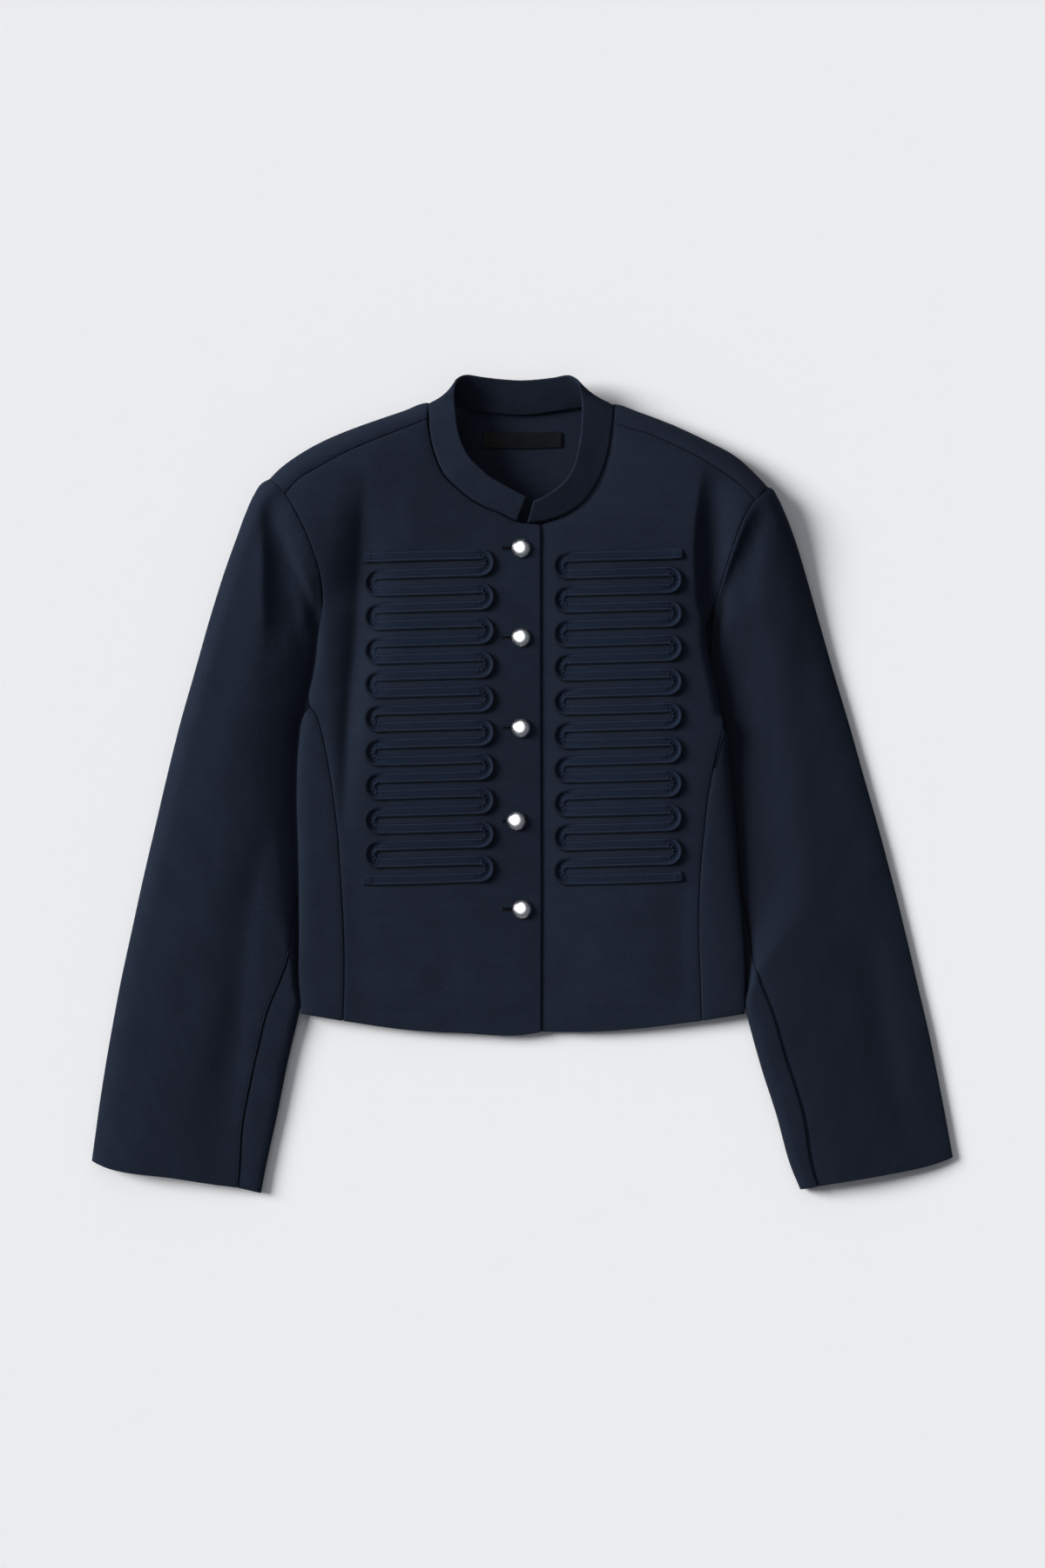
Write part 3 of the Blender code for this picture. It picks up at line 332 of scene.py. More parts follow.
def outerSide(points, quads, outer):
    # quads turned so that they look up, down, away from the middle, or out of a tube that lies flat
    normals = faceNormals(points, quads)
    centres = points[quads].mean(axis=1)
    areas = np.linalg.norm(normals, axis=1)
    middle = (centres * areas[:, None]).sum(axis=0) / areas.sum()
    away = centres - middle
    toward = {"up": (0, 0, 1), "down": (0, 0, -1), "away": away, "tube": away * (0, 0, 1)}[outer]
    return quads if (normals * toward).sum() > 0 else quads[:, ::-1]


def vertexNormals(points, quads):
    normals = faceNormals(points, quads)
    total = np.zeros_like(points)
    for k in range(4):
        np.add.at(total, quads[:, k], normals)
    return unitRows(total)


def clothShell(name, points, quads, weave, finish, outer="up", wall=None):
    # one closed layer of cloth below an outer face, with rounded edges all round
    wall = cloth["wall"] if wall is None else wall
    points = np.asarray(points, float)
    quads = outerSide(points, np.asarray(quads, int), outer)
    normals = vertexNormals(points, quads)
    starts = quads.ravel()
    ends = np.roll(quads, -1, axis=1).ravel()
    count = len(points)
    free = ~np.isin(starts * count + ends, ends * count + starts)
    a = starts[free]
    b = ends[free]
    outward = np.zeros_like(points)
    sideways = unitRows(np.cross(points[b] - points[a], normals[a] + normals[b]))
    np.add.at(outward, a, sideways)
    np.add.at(outward, b, sideways)
    outward = unitRows(outward)
    rim = np.unique(a)
    place = np.zeros(count, int)
    place[rim] = np.arange(len(rim))
    layers = [points, points - normals * wall]
    for angle in (40.0, 90.0, 140.0):
        turn = math.radians(angle)
        lift = normals[rim] * (math.cos(turn) - 1.0) + outward[rim] * math.sin(turn)
        layers.append(points[rim] + lift * wall / 2)
    first = 2 * count
    rings = [first + k * len(rim) for k in range(3)]
    faces = [quads, quads[:, ::-1] + count]
    steps = [(a, b)] + [(start + place[a], start + place[b]) for start in rings] + [(a + count, b + count)]
    for (nearA, nearB), (farA, farB) in zip(steps[:-1], steps[1:]):
        faces.append(np.stack((nearB, nearA, farA, farB), axis=1))
    weave = np.concatenate([weave, weave] + [weave[rim]] * 3)
    every = np.concatenate(layers)
    every[:, 2] = np.maximum(every[:, 2], 0.0)
    return meshPiece(name, every, np.concatenate(faces), weave, finish)


def gridShell(name, grid, weave, finish, outer="up", wall=None):
    return clothShell(name, grid.reshape(-1, 3), gridQuads(*grid.shape[:2]), weave, finish, outer, wall)


def surfaceTree(points, quads):
    return BVHTree.FromPolygons([Vector(p) for p in points], [list(map(int, q)) for q in quads])


def heightOn(tree, x, y, miss=0.0):
    hit = tree.ray_cast(Vector((x, y, 200)), Vector((0, 0, -1)))
    return hit[0].z if hit[0] is not None else miss


def heightsOn(tree, x, y):
    flat = [heightOn(tree, px, py) for px, py in zip(np.ravel(x), np.ravel(y))]
    return np.array(flat).reshape(np.shape(x))


def jacketPiece(piece, nodes):
    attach(piece, "root")
    if nodes:
        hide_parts(*nodes)


# Materials

def fromHex(code):
    # sRGB hex to the linear colour that the shader takes
    parts = [int(code[k:k + 2], 16) / 255 for k in (1, 3, 5)]
    linear = [p / 12.92 if p <= 0.04045 else ((p + 0.055) / 1.055) ** 2.4 for p in parts]
    return (*linear, 1.0)


def addNode(tree, kind, settings=None, links=None):
    node = tree.nodes.new("ShaderNode" + kind)
    for key, value in (settings or {}).items():
        if hasattr(node, str(key)):
            setattr(node, key, value)
        else:
            node.inputs[key].default_value = value
    for key, source in (links or {}).items():
        tree.links.new(source, node.inputs[key])
    return node


def newMaterial(name):
    made = bpy.data.materials.new(name)
    made.use_nodes = True
    tree = made.node_tree
    tree.nodes.clear()
    return made, tree


def bandScale(spacing):
    # wave texture scale that gives one band every so many mm on a map in metres
    return math.pi / 10 / (spacing * mm)


navyTwill = {
    "thread": "#252D3C",      # lit face of the yarn
    "between": "#0E121A",     # the darker lines between the ribs
    "leftSleevePaintedShade": 0.84,      # painted shade: the left sleeve's cloth colour is scaled darker, standing for the shade it lies in
    "ribSpacing": 1.2,        # real ribs are about 0.5 mm apart; drawn coarser so that they show
    "yarnSpacing": 0.8,       # real yarns are 0.3 mm; coarser for the same reason
    "ribs": 0.55,             # how much the ribs show beside the yarns
    "fibres": 1.1,            # how much the loose fibres show beside both
    "reach": (0.6, 2.05),     # relief that is as dark as between the ribs, and as light as the thread
    "mottle": 26.0,           # size of the faint shade changes that pressing leaves, mm
    "roughness": 0.86,
    "sheen": 0.05,
}


def twillFinish(name, look, turned=0.0, paintedShade=1.0):
    # worsted-look twill, woven and pressed: matt, with a fine diagonal rib and a soft fibre sheen
    made, tree = newMaterial(name)
    weave = addNode(tree, "UVMap", {"uv_map": "weave"})
    slant = addNode(tree, "Mapping", {"Rotation": (0, 0, math.radians(45 + turned))},
                    {"Vector": weave.outputs["UV"]})
    ribs = addNode(tree, "TexWave", {"Scale": bandScale(look["ribSpacing"]), "Distortion": 1.2,
                                               "Detail": 1.0, "Detail Scale": 2.0},
                   {"Vector": slant.outputs["Vector"]})
    yarns = addNode(tree, "TexWave", {"Scale": bandScale(look["yarnSpacing"]), "Distortion": 0.6,
                                                "bands_direction": "Y"}, {"Vector": weave.outputs["UV"]})
    fibres = addNode(tree, "TexNoise", {"Scale": 620.0, "Detail": 2.0}, {"Vector": weave.outputs["UV"]})
    cloud = addNode(tree, "TexNoise", {"Scale": 1000.0 / look["mottle"], "Detail": 3.0},
                    {"Vector": weave.outputs["UV"]})
    both = addNode(tree, "Math", {"operation": "MULTIPLY_ADD", 1: look["ribs"]},
                   {0: ribs.outputs["Fac"], 2: yarns.outputs["Fac"]})
    rough = addNode(tree, "Math", {"operation": "MULTIPLY_ADD", 1: look["fibres"]},
                    {0: fibres.outputs["Fac"], 2: both.outputs[0]})
    face = addNode(tree, "MapRange", {"From Min": look["reach"][0], "From Max": look["reach"][1]},
                   {"Value": rough.outputs[0]})
    tone = addNode(tree, "Mix",
                   {"data_type": "RGBA", 6: fromHex(look["between"]), 7: fromHex(look["thread"])},
                   {"Factor": face.outputs[0]})
    # random mottle from pressing, times the painted shade factor that darkens the left sleeve's copy
    mottleAndPaintedShade = addNode(tree, "MapRange",
                   {"From Min": 0.3, "From Max": 0.7, "To Min": 0.92 * paintedShade, "To Max": 1.08 * paintedShade},
                   {"Value": cloud.outputs["Fac"]})
    shade = addNode(tree, "VectorMath", {"operation": "SCALE"},
                    {0: tone.outputs[2], "Scale": mottleAndPaintedShade.outputs[0]})
    bump = addNode(tree, "Bump", {"Strength": 0.5, "Distance": 0.00025}, {"Height": rough.outputs[0]})
    shader = addNode(tree, "BsdfPrincipled",
                     {"Roughness": look["roughness"], "IOR": 1.5, "Specular IOR Level": 0.03,
                      "Sheen Weight": look["sheen"], "Sheen Roughness": 0.45,
                      "Sheen Tint": fromHex("#5F7090")},
                     {"Base Color": shade.outputs[0], "Normal": bump.outputs[0]})
    addNode(tree, "OutputMaterial", links={"Surface": shader.outputs[0]})
    return made


braidTape = {
    "thread": "#192130",
    "between": "#0B1019",
    "ribSpacing": 1.3,        # real cross ribs are about 0.7 mm apart; drawn coarser so that they show
    "roughness": 0.78,
    "sheen": 0.05,
}


def tapeFinish(name, look):
    # grosgrain braid tape, woven with ribs across its length: a little smoother than the twill
    made, tree = newMaterial(name)
    weave = addNode(tree, "UVMap", {"uv_map": "weave"})
    ribs = addNode(tree, "TexWave", {"Scale": bandScale(look["ribSpacing"]), "Distortion": 0.4,
                                               "Detail": 1.0}, {"Vector": weave.outputs["UV"]})
    fibres = addNode(tree, "TexNoise", {"Scale": 1100.0, "Detail": 2.0}, {"Vector": weave.outputs["UV"]})
    relief = addNode(tree, "Math", {"operation": "MULTIPLY_ADD", 1: 0.4},
                     {0: fibres.outputs["Fac"], 2: ribs.outputs["Fac"]})
    tone = addNode(tree, "Mix",
                   {"data_type": "RGBA", 6: fromHex(look["between"]), 7: fromHex(look["thread"])},
                   {"Factor": relief.outputs[0]})
    bump = addNode(tree, "Bump", {"Strength": 0.5, "Distance": 0.0003}, {"Height": relief.outputs[0]})
    shader = addNode(tree, "BsdfPrincipled",
                     {"Roughness": look["roughness"], "IOR": 1.5, "Specular IOR Level": 0.03,
                      "Sheen Weight": look["sheen"], "Sheen Roughness": 0.4,
                      "Sheen Tint": fromHex("#66779A")},
                     {"Base Color": tone.outputs[2], "Normal": bump.outputs[0]})
    addNode(tree, "OutputMaterial", links={"Surface": shader.outputs[0]})
    return made


def threadFinish(name, colour, roughness):
    # polyester sewing thread, twisted: slightly glossier than the cloth that it lies on
    made, tree = newMaterial(name)
    place = addNode(tree, "TexCoord")
    twist = addNode(tree, "TexNoise", {"Scale": 2500.0}, {"Vector": place.outputs["Object"]})
    tone = addNode(tree, "Mix", {"data_type": "RGBA", 6: fromHex(colour[0]), 7: fromHex(colour[1])},
                   {"Factor": twist.outputs["Fac"]})
    shader = addNode(tree, "BsdfPrincipled",
                     {"Roughness": roughness, "IOR": 1.54, "Specular IOR Level": 0.1},
                     {"Base Color": tone.outputs[2]})
    addNode(tree, "OutputMaterial", links={"Surface": shader.outputs[0]})
    return made


def labelFinish(name):
    # damask label, woven from polyester: black, close and slightly shiny
    made, tree = newMaterial(name)
    weave = addNode(tree, "UVMap", {"uv_map": "weave"})
    picks = addNode(tree, "TexWave", {"Scale": bandScale(0.9), "bands_direction": "Y",
                                                "Distortion": 0.5}, {"Vector": weave.outputs["UV"]})
    ends = addNode(tree, "TexWave", {"Scale": bandScale(0.8), "Distortion": 0.5},
                   {"Vector": weave.outputs["UV"]})
    relief = addNode(tree, "Math", {"operation": "MULTIPLY"},
                     {0: picks.outputs["Fac"], 1: ends.outputs["Fac"]})
    tone = addNode(tree, "Mix", {"data_type": "RGBA", 6: fromHex("#040506"), 7: fromHex("#101215")},
                   {"Factor": relief.outputs[0]})
    bump = addNode(tree, "Bump", {"Strength": 0.4, "Distance": 0.0002}, {"Height": relief.outputs[0]})
    shader = addNode(tree, "BsdfPrincipled", {"Roughness": 0.6, "IOR": 1.5, "Specular IOR Level": 0.05},
                     {"Base Color": tone.outputs[2], "Normal": bump.outputs[0]})
    addNode(tree, "OutputMaterial", links={"Surface": shader.outputs[0]})
    return made


def buttonMetal(name):
    # plated zinc, cast and tumbled to a satin: silver, with soft highlights and faint marks from handling
    made, tree = newMaterial(name)
    place = addNode(tree, "TexCoord")
    marks = addNode(tree, "TexNoise", {"Scale": 420.0, "Detail": 4.0}, {"Vector": place.outputs["Object"]})
    rough = addNode(tree, "MapRange", {"From Min": 0.3, "From Max": 0.7, "To Min": 0.2, "To Max": 0.3},
                    {"Value": marks.outputs["Fac"]})
    bump = addNode(tree, "Bump", {"Strength": 0.08, "Distance": 0.0002}, {"Height": marks.outputs["Fac"]})
    shader = addNode(tree, "BsdfPrincipled", {"Base Color": fromHex("#D5D6D8"), "Metallic": 1.0},
                     {"Roughness": rough.outputs[0], "Normal": bump.outputs[0]})
    addNode(tree, "OutputMaterial", links={"Surface": shader.outputs[0]})
    return made


twill = twillFinish("worstedTwillNavy", navyTwill)
# a turned copy of the twill whose colour is made darker: painted shade for the left sleeve
turnedPaintedShadeTwill = twillFinish("worstedTwillNavyTurnedPaintedShade", navyTwill, 90.0, navyTwill["leftSleevePaintedShade"])
tape = tapeFinish("grosgrainBraidNavy", braidTape)
thread = threadFinish("polyesterThreadNavy", ("#090D15", "#151B28"), 0.55)
tapeThread = threadFinish("polyesterThreadSlate", ("#232C3C", "#414E66"), 0.55)
# near-black cord colour for the braid's edges: painted shadow, standing for the shadow line under the tape's
# edge
shadowLineThread = threadFinish("paintedShadowCordInk", ("#05070B", "#0A0D13"), 0.7)
blackThread = threadFinish("polyesterThreadBlack", ("#08090B", "#17191D"), 0.6)
labelWeave = labelFinish("damaskLabelBlack")
silver = buttonMetal("satinPlatedZinc")
print("materials made")


# Fronts

fronts = {
    "bulge": 4.0,           # how far each front swells over the air inside
    "unevenness": 0.35,
    "size": (162.0, 510.0),  # across and along, for the spacing of the mesh
    "fromEdge": (1.3, 2.4, 4, 6.2),  # closer mesh beside a seam, mm
    "edgeRoll": {"Right": (3.5, 7), "Left": (8.5, 9)},  # depth and reach
    "dimple": (0.8, 9.0),   # depth and reach of the dip under each button
    "lapX": (12, 6, 0, -6, -12.5, -18.5),  # the underlap below the right front
    "lapInside": (14.0, -211.0, 220.0),  # what it lies below ends at this x, and at these y
    "lapBlend": 14.0,       # how far from its edge the left front bends down to the underlap
    # folds: what the right side is like, then x, y, depth and the widths on the left and right
    "folds": [
        ("crease", [(-135.5, 272, 0, 18, 18), (-137.5, 240, 4, 20, 22), (-140.2, 202, 7.6, 20, 25),
                    (-143.2, 150, 9, 20, 25), (-146.8, 104, 9.6, 18, 22), (-150.6, 62, 7, 13, 16),
                    (-153, 5, 3, 9, 10), (-155, -45, 0, 8, 8)]),
        ("crest", [(168, 274, 0, 16, 13), (164, 240, 6.5, 18, 14), (162, 209, 11, 19, 14.5),
                   (163, 181, 11, 16, 15), (166, 156, 10, 12, 16), (172, 134, 6, 12, 15),
                   (176, 112, 2, 12, 13)]),
        ("soft", [(-112, 262, 0, 10, 12), (-108, 225, 1.3, 10, 12), (-110, 190, 0, 10, 12)]),
        ("soft", [(-146, -60, 0, 15, 13), (-141, -120, 1.3, 16, 13), (-143, -200, 0.6, 15, 13)]),
        ("soft", [(141, -50, 0, 13, 15), (137, -115, 1.2, 13, 16), (140, -200, 0.7, 13, 15)]),
        ("soft", [(40, -190, 0.5, 18, 14), (46, -150, 0.9, 18, 14), (52, -110, 0, 18, 14)]),
        ("soft", [(-60, -196, 0.5, 18, 14), (-66, -150, 0.9, 18, 14), (-60, -108, 0, 18, 14)]),
    ],
}
hemFrontRight = [
    (-154.2, -203, 11), (-122, -208, 9.6), (-93.5, -211.4, 9.2),
    (-51.5, -213.6, 9), (-1.2, -215.3, 8.8), (15.3, -213, 8.6),
]
hemFrontLeft = [(154, -203, 11), (100.8, -209.6, 9.6), (63.9, -212.3, 9), (19.5, -212.6, 7.4)]
frontEdgeRight = [
    (15.3, -213, 8.6), (15.6, -110, 11), (15.3, 0, 15), (15, 100, 19), (14.9, 221.9, 22.5),
]
visibleEdgeLeft = [
    (19.5, -212.6, 7.4), (19.5, -110, 10), (19.5, 0, 14), (19.5, 100, 18), (19.5, 222.8, 22),
]
buttonPlaces = [(-1.2, 202.2), (-1.2, 125.7), (-1.4, 48), (-5.2, -31.8), (-0.5, -107.6)]
buttonholes = {
    "endX": -17.0,
    "slit": 0.55,           # half of its width
    # its wider part under the button: x from the button's middle, and half of its width there
    "eye": [(-3.2, 0.55), (-2.4, 1.5), (2.4, 1.5), (3.6, 0.4)],
    "cutDepth": 6.0,
    "stitch": (1.5, 0.26),  # length and thickness
    "stitchPitch": 0.55,
    "stitchRow": 1.15,      # distance of the stitches from the middle of the slit
    "barX": -17.4,
    "barY": (-1.8, 1.8, 9),  # the bar across its end: from, to and how many stitches
    "above": 0.18,
}


def frontGrid(hem, neck, shoulder, side, frontEdge):
    sideLine = smoothLine(side)
    neckLine = smoothLine(neck[::-1])
    farLine = joinLines(smoothLine(frontEdge), neckLine)
    near = fronts["fromEdge"]
    wide, long = fronts["size"]
    rows = sharesAlong(long, cloth["mesh"], near, near)
    nearest = int(np.argmin(np.abs(rows - farLine.corner)))
    rows[nearest] = farLine.corner
    columns = sharesAlong(wide, cloth["mesh"], near, near)
    grid = gridPatch(smoothLine(hem), smoothLine(shoulder), sideLine, farLine, columns, rows)
    u = columns[None, :]
    v = rows[:, None]
    lift = fronts["bulge"] * np.sin(np.pi * u) * np.sin(np.pi * v) ** 0.8
    x = grid[..., 0]
    y = grid[..., 1]
    quiet = np.sin(np.pi * u) * np.sin(np.pi * v) ** 0.5
    grid[..., 2] += lift - foldRelief(x, y, fronts["folds"])
    grid[..., 2] += looseCloth(x, y, fronts["unevenness"]) * quiet
    return grid, nearest + 1


def pressSeams(grid, seams):
    grid[..., 2] -= seamDip(grid[..., 0], grid[..., 1], seams)
    return grid


def turnEdgeDown(grid, edge, depth, reach):
    # where a front's edge lies over the sleeve it rolls down towards it
    gap = np.abs(nearPath(grid[..., 0], grid[..., 1], planPath(edge, 24))[0])
    grid[..., 2] -= depth * (1 - quarterRound(gap, reach))
    return grid


def buttonDimples(grid):
    # the cloth sinks a little where a button's shank holds it
    depth, reach = fronts["dimple"]
    for bx, by in buttonPlaces:
        away = np.hypot(grid[..., 0] - bx, grid[..., 1] - by)
        grid[..., 2] -= depth * np.exp(-(away / reach) ** 2)
    return grid


sideRight = princessRight + overSleeveRight + armholeRight[6:0:-1]
sideLeft = princessLeft + overSleeveLeft + armholeLeft[6:0:-1]
rightGrid = frontGrid(hemFrontRight, neckRight, shoulderSeamRight, sideRight, frontEdgeRight)[0]
rightGrid = buttonDimples(pressSeams(rightGrid, [sideRight, neckRight, shoulderSeamRight]))
rightGrid = turnEdgeDown(rightGrid, overSleeveRight, *fronts["edgeRoll"]["Right"])
rightGrid = standBack(rightGrid, ("firstColumn", "lastRow"))
overRight = surfaceTree(rightGrid.reshape(-1, 3), gridQuads(*rightGrid.shape[:2]))


def buttonholeCutters(tree):
    # one joined cutter: a narrow slit that opens under each button for its shank
    points = []
    faces = []
    for bx, by in buttonPlaces:
        z = heightOn(tree, bx, by)
        half = [(buttonholes["endX"], buttonholes["slit"])] + [(bx + dx, dy) for dx, dy in buttonholes["eye"]]
        outline = [(px, by - dy) for px, dy in half] + [(px, by + dy) for px, dy in reversed(half)]
        start = len(points)
        count = len(outline)
        for level in (z - buttonholes["cutDepth"], z + buttonholes["cutDepth"]):
            points += [(px, py, level) for px, py in outline]
        faces.append([start + k for k in reversed(range(count))])
        faces.append([start + count + k for k in range(count)])
        for k in range(count):
            after = (k + 1) % count
            faces.append([start + k, start + after, start + count + after, start + count + k])
    return meshPiece("buttonholeCutter", points, faces, None, twill)


def cutSlits(piece, cutter):
    cut = piece.modifiers.new("buttonholes", "BOOLEAN")
    cut.operation = "DIFFERENCE"
    cut.solver = "EXACT"
    cut.object = cutter
    bpy.context.view_layer.objects.active = piece
    bpy.context.view_layer.update()
    shaped = bpy.data.meshes.new_from_object(piece.evaluated_get(bpy.context.evaluated_depsgraph_get()))
    piece.modifiers.clear()
    piece.data = shaped
    bpy.data.objects.remove(cutter, do_unlink=True)


def underlap(tree, rows):
    # the left front's hidden strip, pressed down below the right front
    edgeX, lowY, highY = fronts["lapInside"]
    around = (-6.0, 0.0, 6.0)
    lap = []
    for x, y, z in rows:
        inside = min(max(y, lowY), highY)
        strip = []
        for lapX in fronts["lapX"]:
            near = [heightOn(tree, min(lapX + dx, edgeX), inside + dy, 99.0)
                    for dx in around for dy in around]
            strip.append((lapX, inside - 0.6, min(near) - cloth["wall"] - cloth["layerGap"]))
        lap.append(strip)
    return np.array(lap)


def makeFrontLeft():
    grid, edgeRows = frontGrid(hemFrontLeft, neckLeft, shoulderSeamLeft, sideLeft, visibleEdgeLeft)
    grid = pressSeams(grid, [sideLeft, neckLeft, shoulderSeamLeft])
    grid = turnEdgeDown(grid, overSleeveLeft, *fronts["edgeRoll"]["Left"])
    grid = standBack(grid, ("firstColumn", "lastRow"))
    lap = underlap(overRight, grid[:edgeRows, -1])
    limit = lap[:, 0, 2] + 0.3
    drop = np.maximum(grid[:edgeRows, -1, 2] - limit, 0.0)[:, None]
    fromEdge = grid[:edgeRows, :, 0] - visibleEdgeLeft[0][0]
    grid[:edgeRows, :, 2] -= drop * np.exp(-fromEdge / fronts["lapBlend"])
    rows, columns = grid.shape[:2]
    lapRows, lapColumns = lap.shape[:2]
    start = rows * columns
    low = np.arange(lapRows - 1) * columns + columns - 1
    far = start + np.arange(lapRows - 1) * lapColumns
    bridge = np.stack((low, far, far + lapColumns, low + columns), axis=1)
    points = np.concatenate((grid.reshape(-1, 3), lap.reshape(-1, 3)))
    quads = np.concatenate((gridQuads(rows, columns), gridQuads(lapRows, lapColumns, start), bridge))
    return points, quads


frontRight = gridShell("frontRight", rightGrid, rightGrid[..., :2].reshape(-1, 2), twill)
cutSlits(frontRight, buttonholeCutters(overRight))
leftPoints, leftQuads = makeFrontLeft()
frontLeft = clothShell("frontLeft", leftPoints, leftQuads, leftPoints[:, :2], twill)
overLeft = surfaceTree(leftPoints, leftQuads)
jacketPiece(frontRight, ["front_right"])
jacketPiece(frontLeft, ["front_left"])
print("fronts made")


# Side panels

sidePanels = {
    "seamY": (-206, -170, -136, -105, -78, -55, -35, -16, 0, 13, 21, 27),
    "seamX": 129.0,         # where the side seam lies on the hidden face
    "rounding": {"Right": 13.0, "Left": 27.0},
    "rows": 84,
    "underHem": 4.4,        # underside at the hem, where no sleeve lies below it
    "foldAbove": 3.4,       # height of the side fold over the underside
    # columns of the mesh: shares of the width that shows, then mm from the fold and shares of the hidden rest
    "shown": (1, 0.955, 0.91, 0.84, 0.75, 0.64, 0.54, 0.45, 0.37, 0.29, 0.22, 0.16, 0.11, 0.07, 0.04,
              0.018, 0.005, 0.0),
    "fromFold": (0.05, 0.3, 0.8, 1.6, 2.8, 4.4, 6.4, 9, 12, 15.5),
    "hidden": (0.36, 0.5, 0.64, 0.72, 0.79, 0.87, 0.94, 1),
}


def sidePanelGrid(princess, fold, sign, rounding):
    every = np.arange(len(princess))
    seamLine = smoothLine(princess)
    foldLine = smoothLine(fold)
    place = np.linspace(0, len(princess) - 1, sidePanels["rows"])
    p = seamLine(np.interp(place, every, seamLine.reach))
    f = foldLine(np.interp(place, every, foldLine.reach))
    seamY = np.interp(place, every, sidePanels["seamY"])
    low = sidePanels["underHem"]
    under = low + (cloth["bodyUnder"] - low) * easeBetween(p[:, 1], -203.0, -150.0)
    middle = under + sidePanels["foldAbove"]
    wide = np.hypot(p[:, 0] - f[:, 0], p[:, 1] - f[:, 1])
    reach = np.minimum(wide, rounding)
    columns = []
    shares = np.array(sidePanels["shown"])
    for share in shares:
        rise = quarterRound(share * wide, reach)
        x = f[:, 0] + (p[:, 0] - f[:, 0]) * share
        y = f[:, 1] + (p[:, 1] - f[:, 1]) * share
        columns.append(np.stack((x, y, middle + (p[:, 2] - middle) * rise), axis=1))
    seamX = sidePanels["seamX"] * sign
    run = np.hypot(seamX - f[:, 0], seamY - f[:, 1])
    hidden = [np.full(len(run), gap) for gap in sidePanels["fromFold"]]
    hidden += [run * share for share in sidePanels["hidden"]]
    for along in hidden:
        share = along / run
        drop = (middle - under) * quarterRound(along, 7.0)
        settle = easeBetween(share, 0.71, 1.0)
        x = f[:, 0] + (seamX - f[:, 0]) * share
        y = f[:, 1] + (seamY - f[:, 1]) * share
        columns.append(np.stack((x, y, (middle - drop) * (1 - settle)), axis=1))
    grid = np.stack(columns, axis=1)
    grid[:, :len(shares), 2] -= seamProfile(wide[:, None] * (1.0 - shares)[None, :])
    return grid


for name, princess, fold, sign in (("Right", princessRight, sideFoldRight, -1.0),
                                   ("Left", princessLeft, sideFoldLeft, 1.0)):
    grid = sidePanelGrid(princess, fold, sign, sidePanels["rounding"][name])
    grid = standBack(grid, ("firstColumn", "lastColumn", "lastRow"))
    panel = gridShell("sideFront" + name, grid, arcWeave(grid), twill, outer="tube")
    jacketPiece(panel, ["side_front_" + name.lower()])
print("side panels made")


# Back

backCut = {
    "sideSeamX": 127.0,
    "sideSeamY": (-206.5, -100, 0, 34),
    "hem": [(-127, -206.5), (-80, -210), (0, -212), (80, -210), (127, -206.5)],
    "foldRows": (0.008, 0.03, 0.07, 0.13, 0.21, 0.31, 0.43, 0.57, 0.72, 0.88, 0.95, 1),
    # mesh: length, step, and closer places from its start and its end, mm
    "alongShoulder": (150, 4, (2.6, 5, 8), (2.6, 5, 8)),
    "alongNeck": (165, 3, (1.2, 2.4, 4.5), (1.2, 2.4, 4.5)),
    "upwards": (500, 5.5, (1.4, 3), (0.25, 0.8, 1.6, 2.7, 4.1, 6, 8.5, 11.5, 15, 19)),
}


def backGrid():
    lines = []
    for sign, armhole in ((-1.0, armholeRight), (1.0, armholeLeft)):
        seam = [(sign * backCut["sideSeamX"], y) for y in backCut["sideSeamY"]]
        lines.append(smoothLine(seam + [row[:2] for row in armhole[::-1]]))
    right, left = lines
    neck = [row[:2] for row in backNeck]
    top = smoothLine(shoulderRight + neck[1:-1] + shoulderLeft[::-1])
    neckStart = top.reach[len(shoulderRight) - 1]
    neckEnd = top.reach[len(shoulderRight) + len(neck) - 2]
    shoulder = sharesAlong(*backCut["alongShoulder"])
    collarPart = sharesAlong(*backCut["alongNeck"])
    across = np.concatenate((shoulder * neckStart, neckStart + (neckEnd - neckStart) * collarPart[1:-1],
                             neckEnd + (1 - neckEnd) * shoulder))
    along = sharesAlong(*backCut["upwards"])
    grid = gridPatch(smoothLine(backCut["hem"]), top, right, left, across, along)
    edge = top(across)
    away = np.hypot(grid[..., 0] - edge[None, :, 0], grid[..., 1] - edge[None, :, 1])
    rim = np.full(len(across), cloth["shoulderFold"])
    beforeNeck = across <= neckStart + 1e-9
    afterNeck = across >= neckEnd - 1e-9
    inNeck = ~(beforeNeck | afterNeck)
    rim[inNeck] = smoothLine(backNeck)((across[inNeck] - neckStart) / (neckEnd - neckStart))[:, 2]
    z = rim[None, :] * (1 - quarterRound(away, cloth["backRoll"]))
    return np.dstack((grid, z)), across, beforeNeck, afterNeck


def shoulderStrip(fold, shares, seamRows):
    # carries the back over the shoulder fold to the forward seam
    target = smoothLine(seamRows)(shares)
    rise = np.array(backCut["foldRows"])[:, None, None]
    strip = fold[None] + (target - fold)[None] * rise
    strip[..., 2] = fold[None, :, 2] + (target - fold)[None, :, 2] * quarterRound(rise[..., 0], 1.0)
    fromSeam = np.linalg.norm(strip - target[None], axis=2)
    strip[..., 2] -= seamProfile(fromSeam)
    return strip


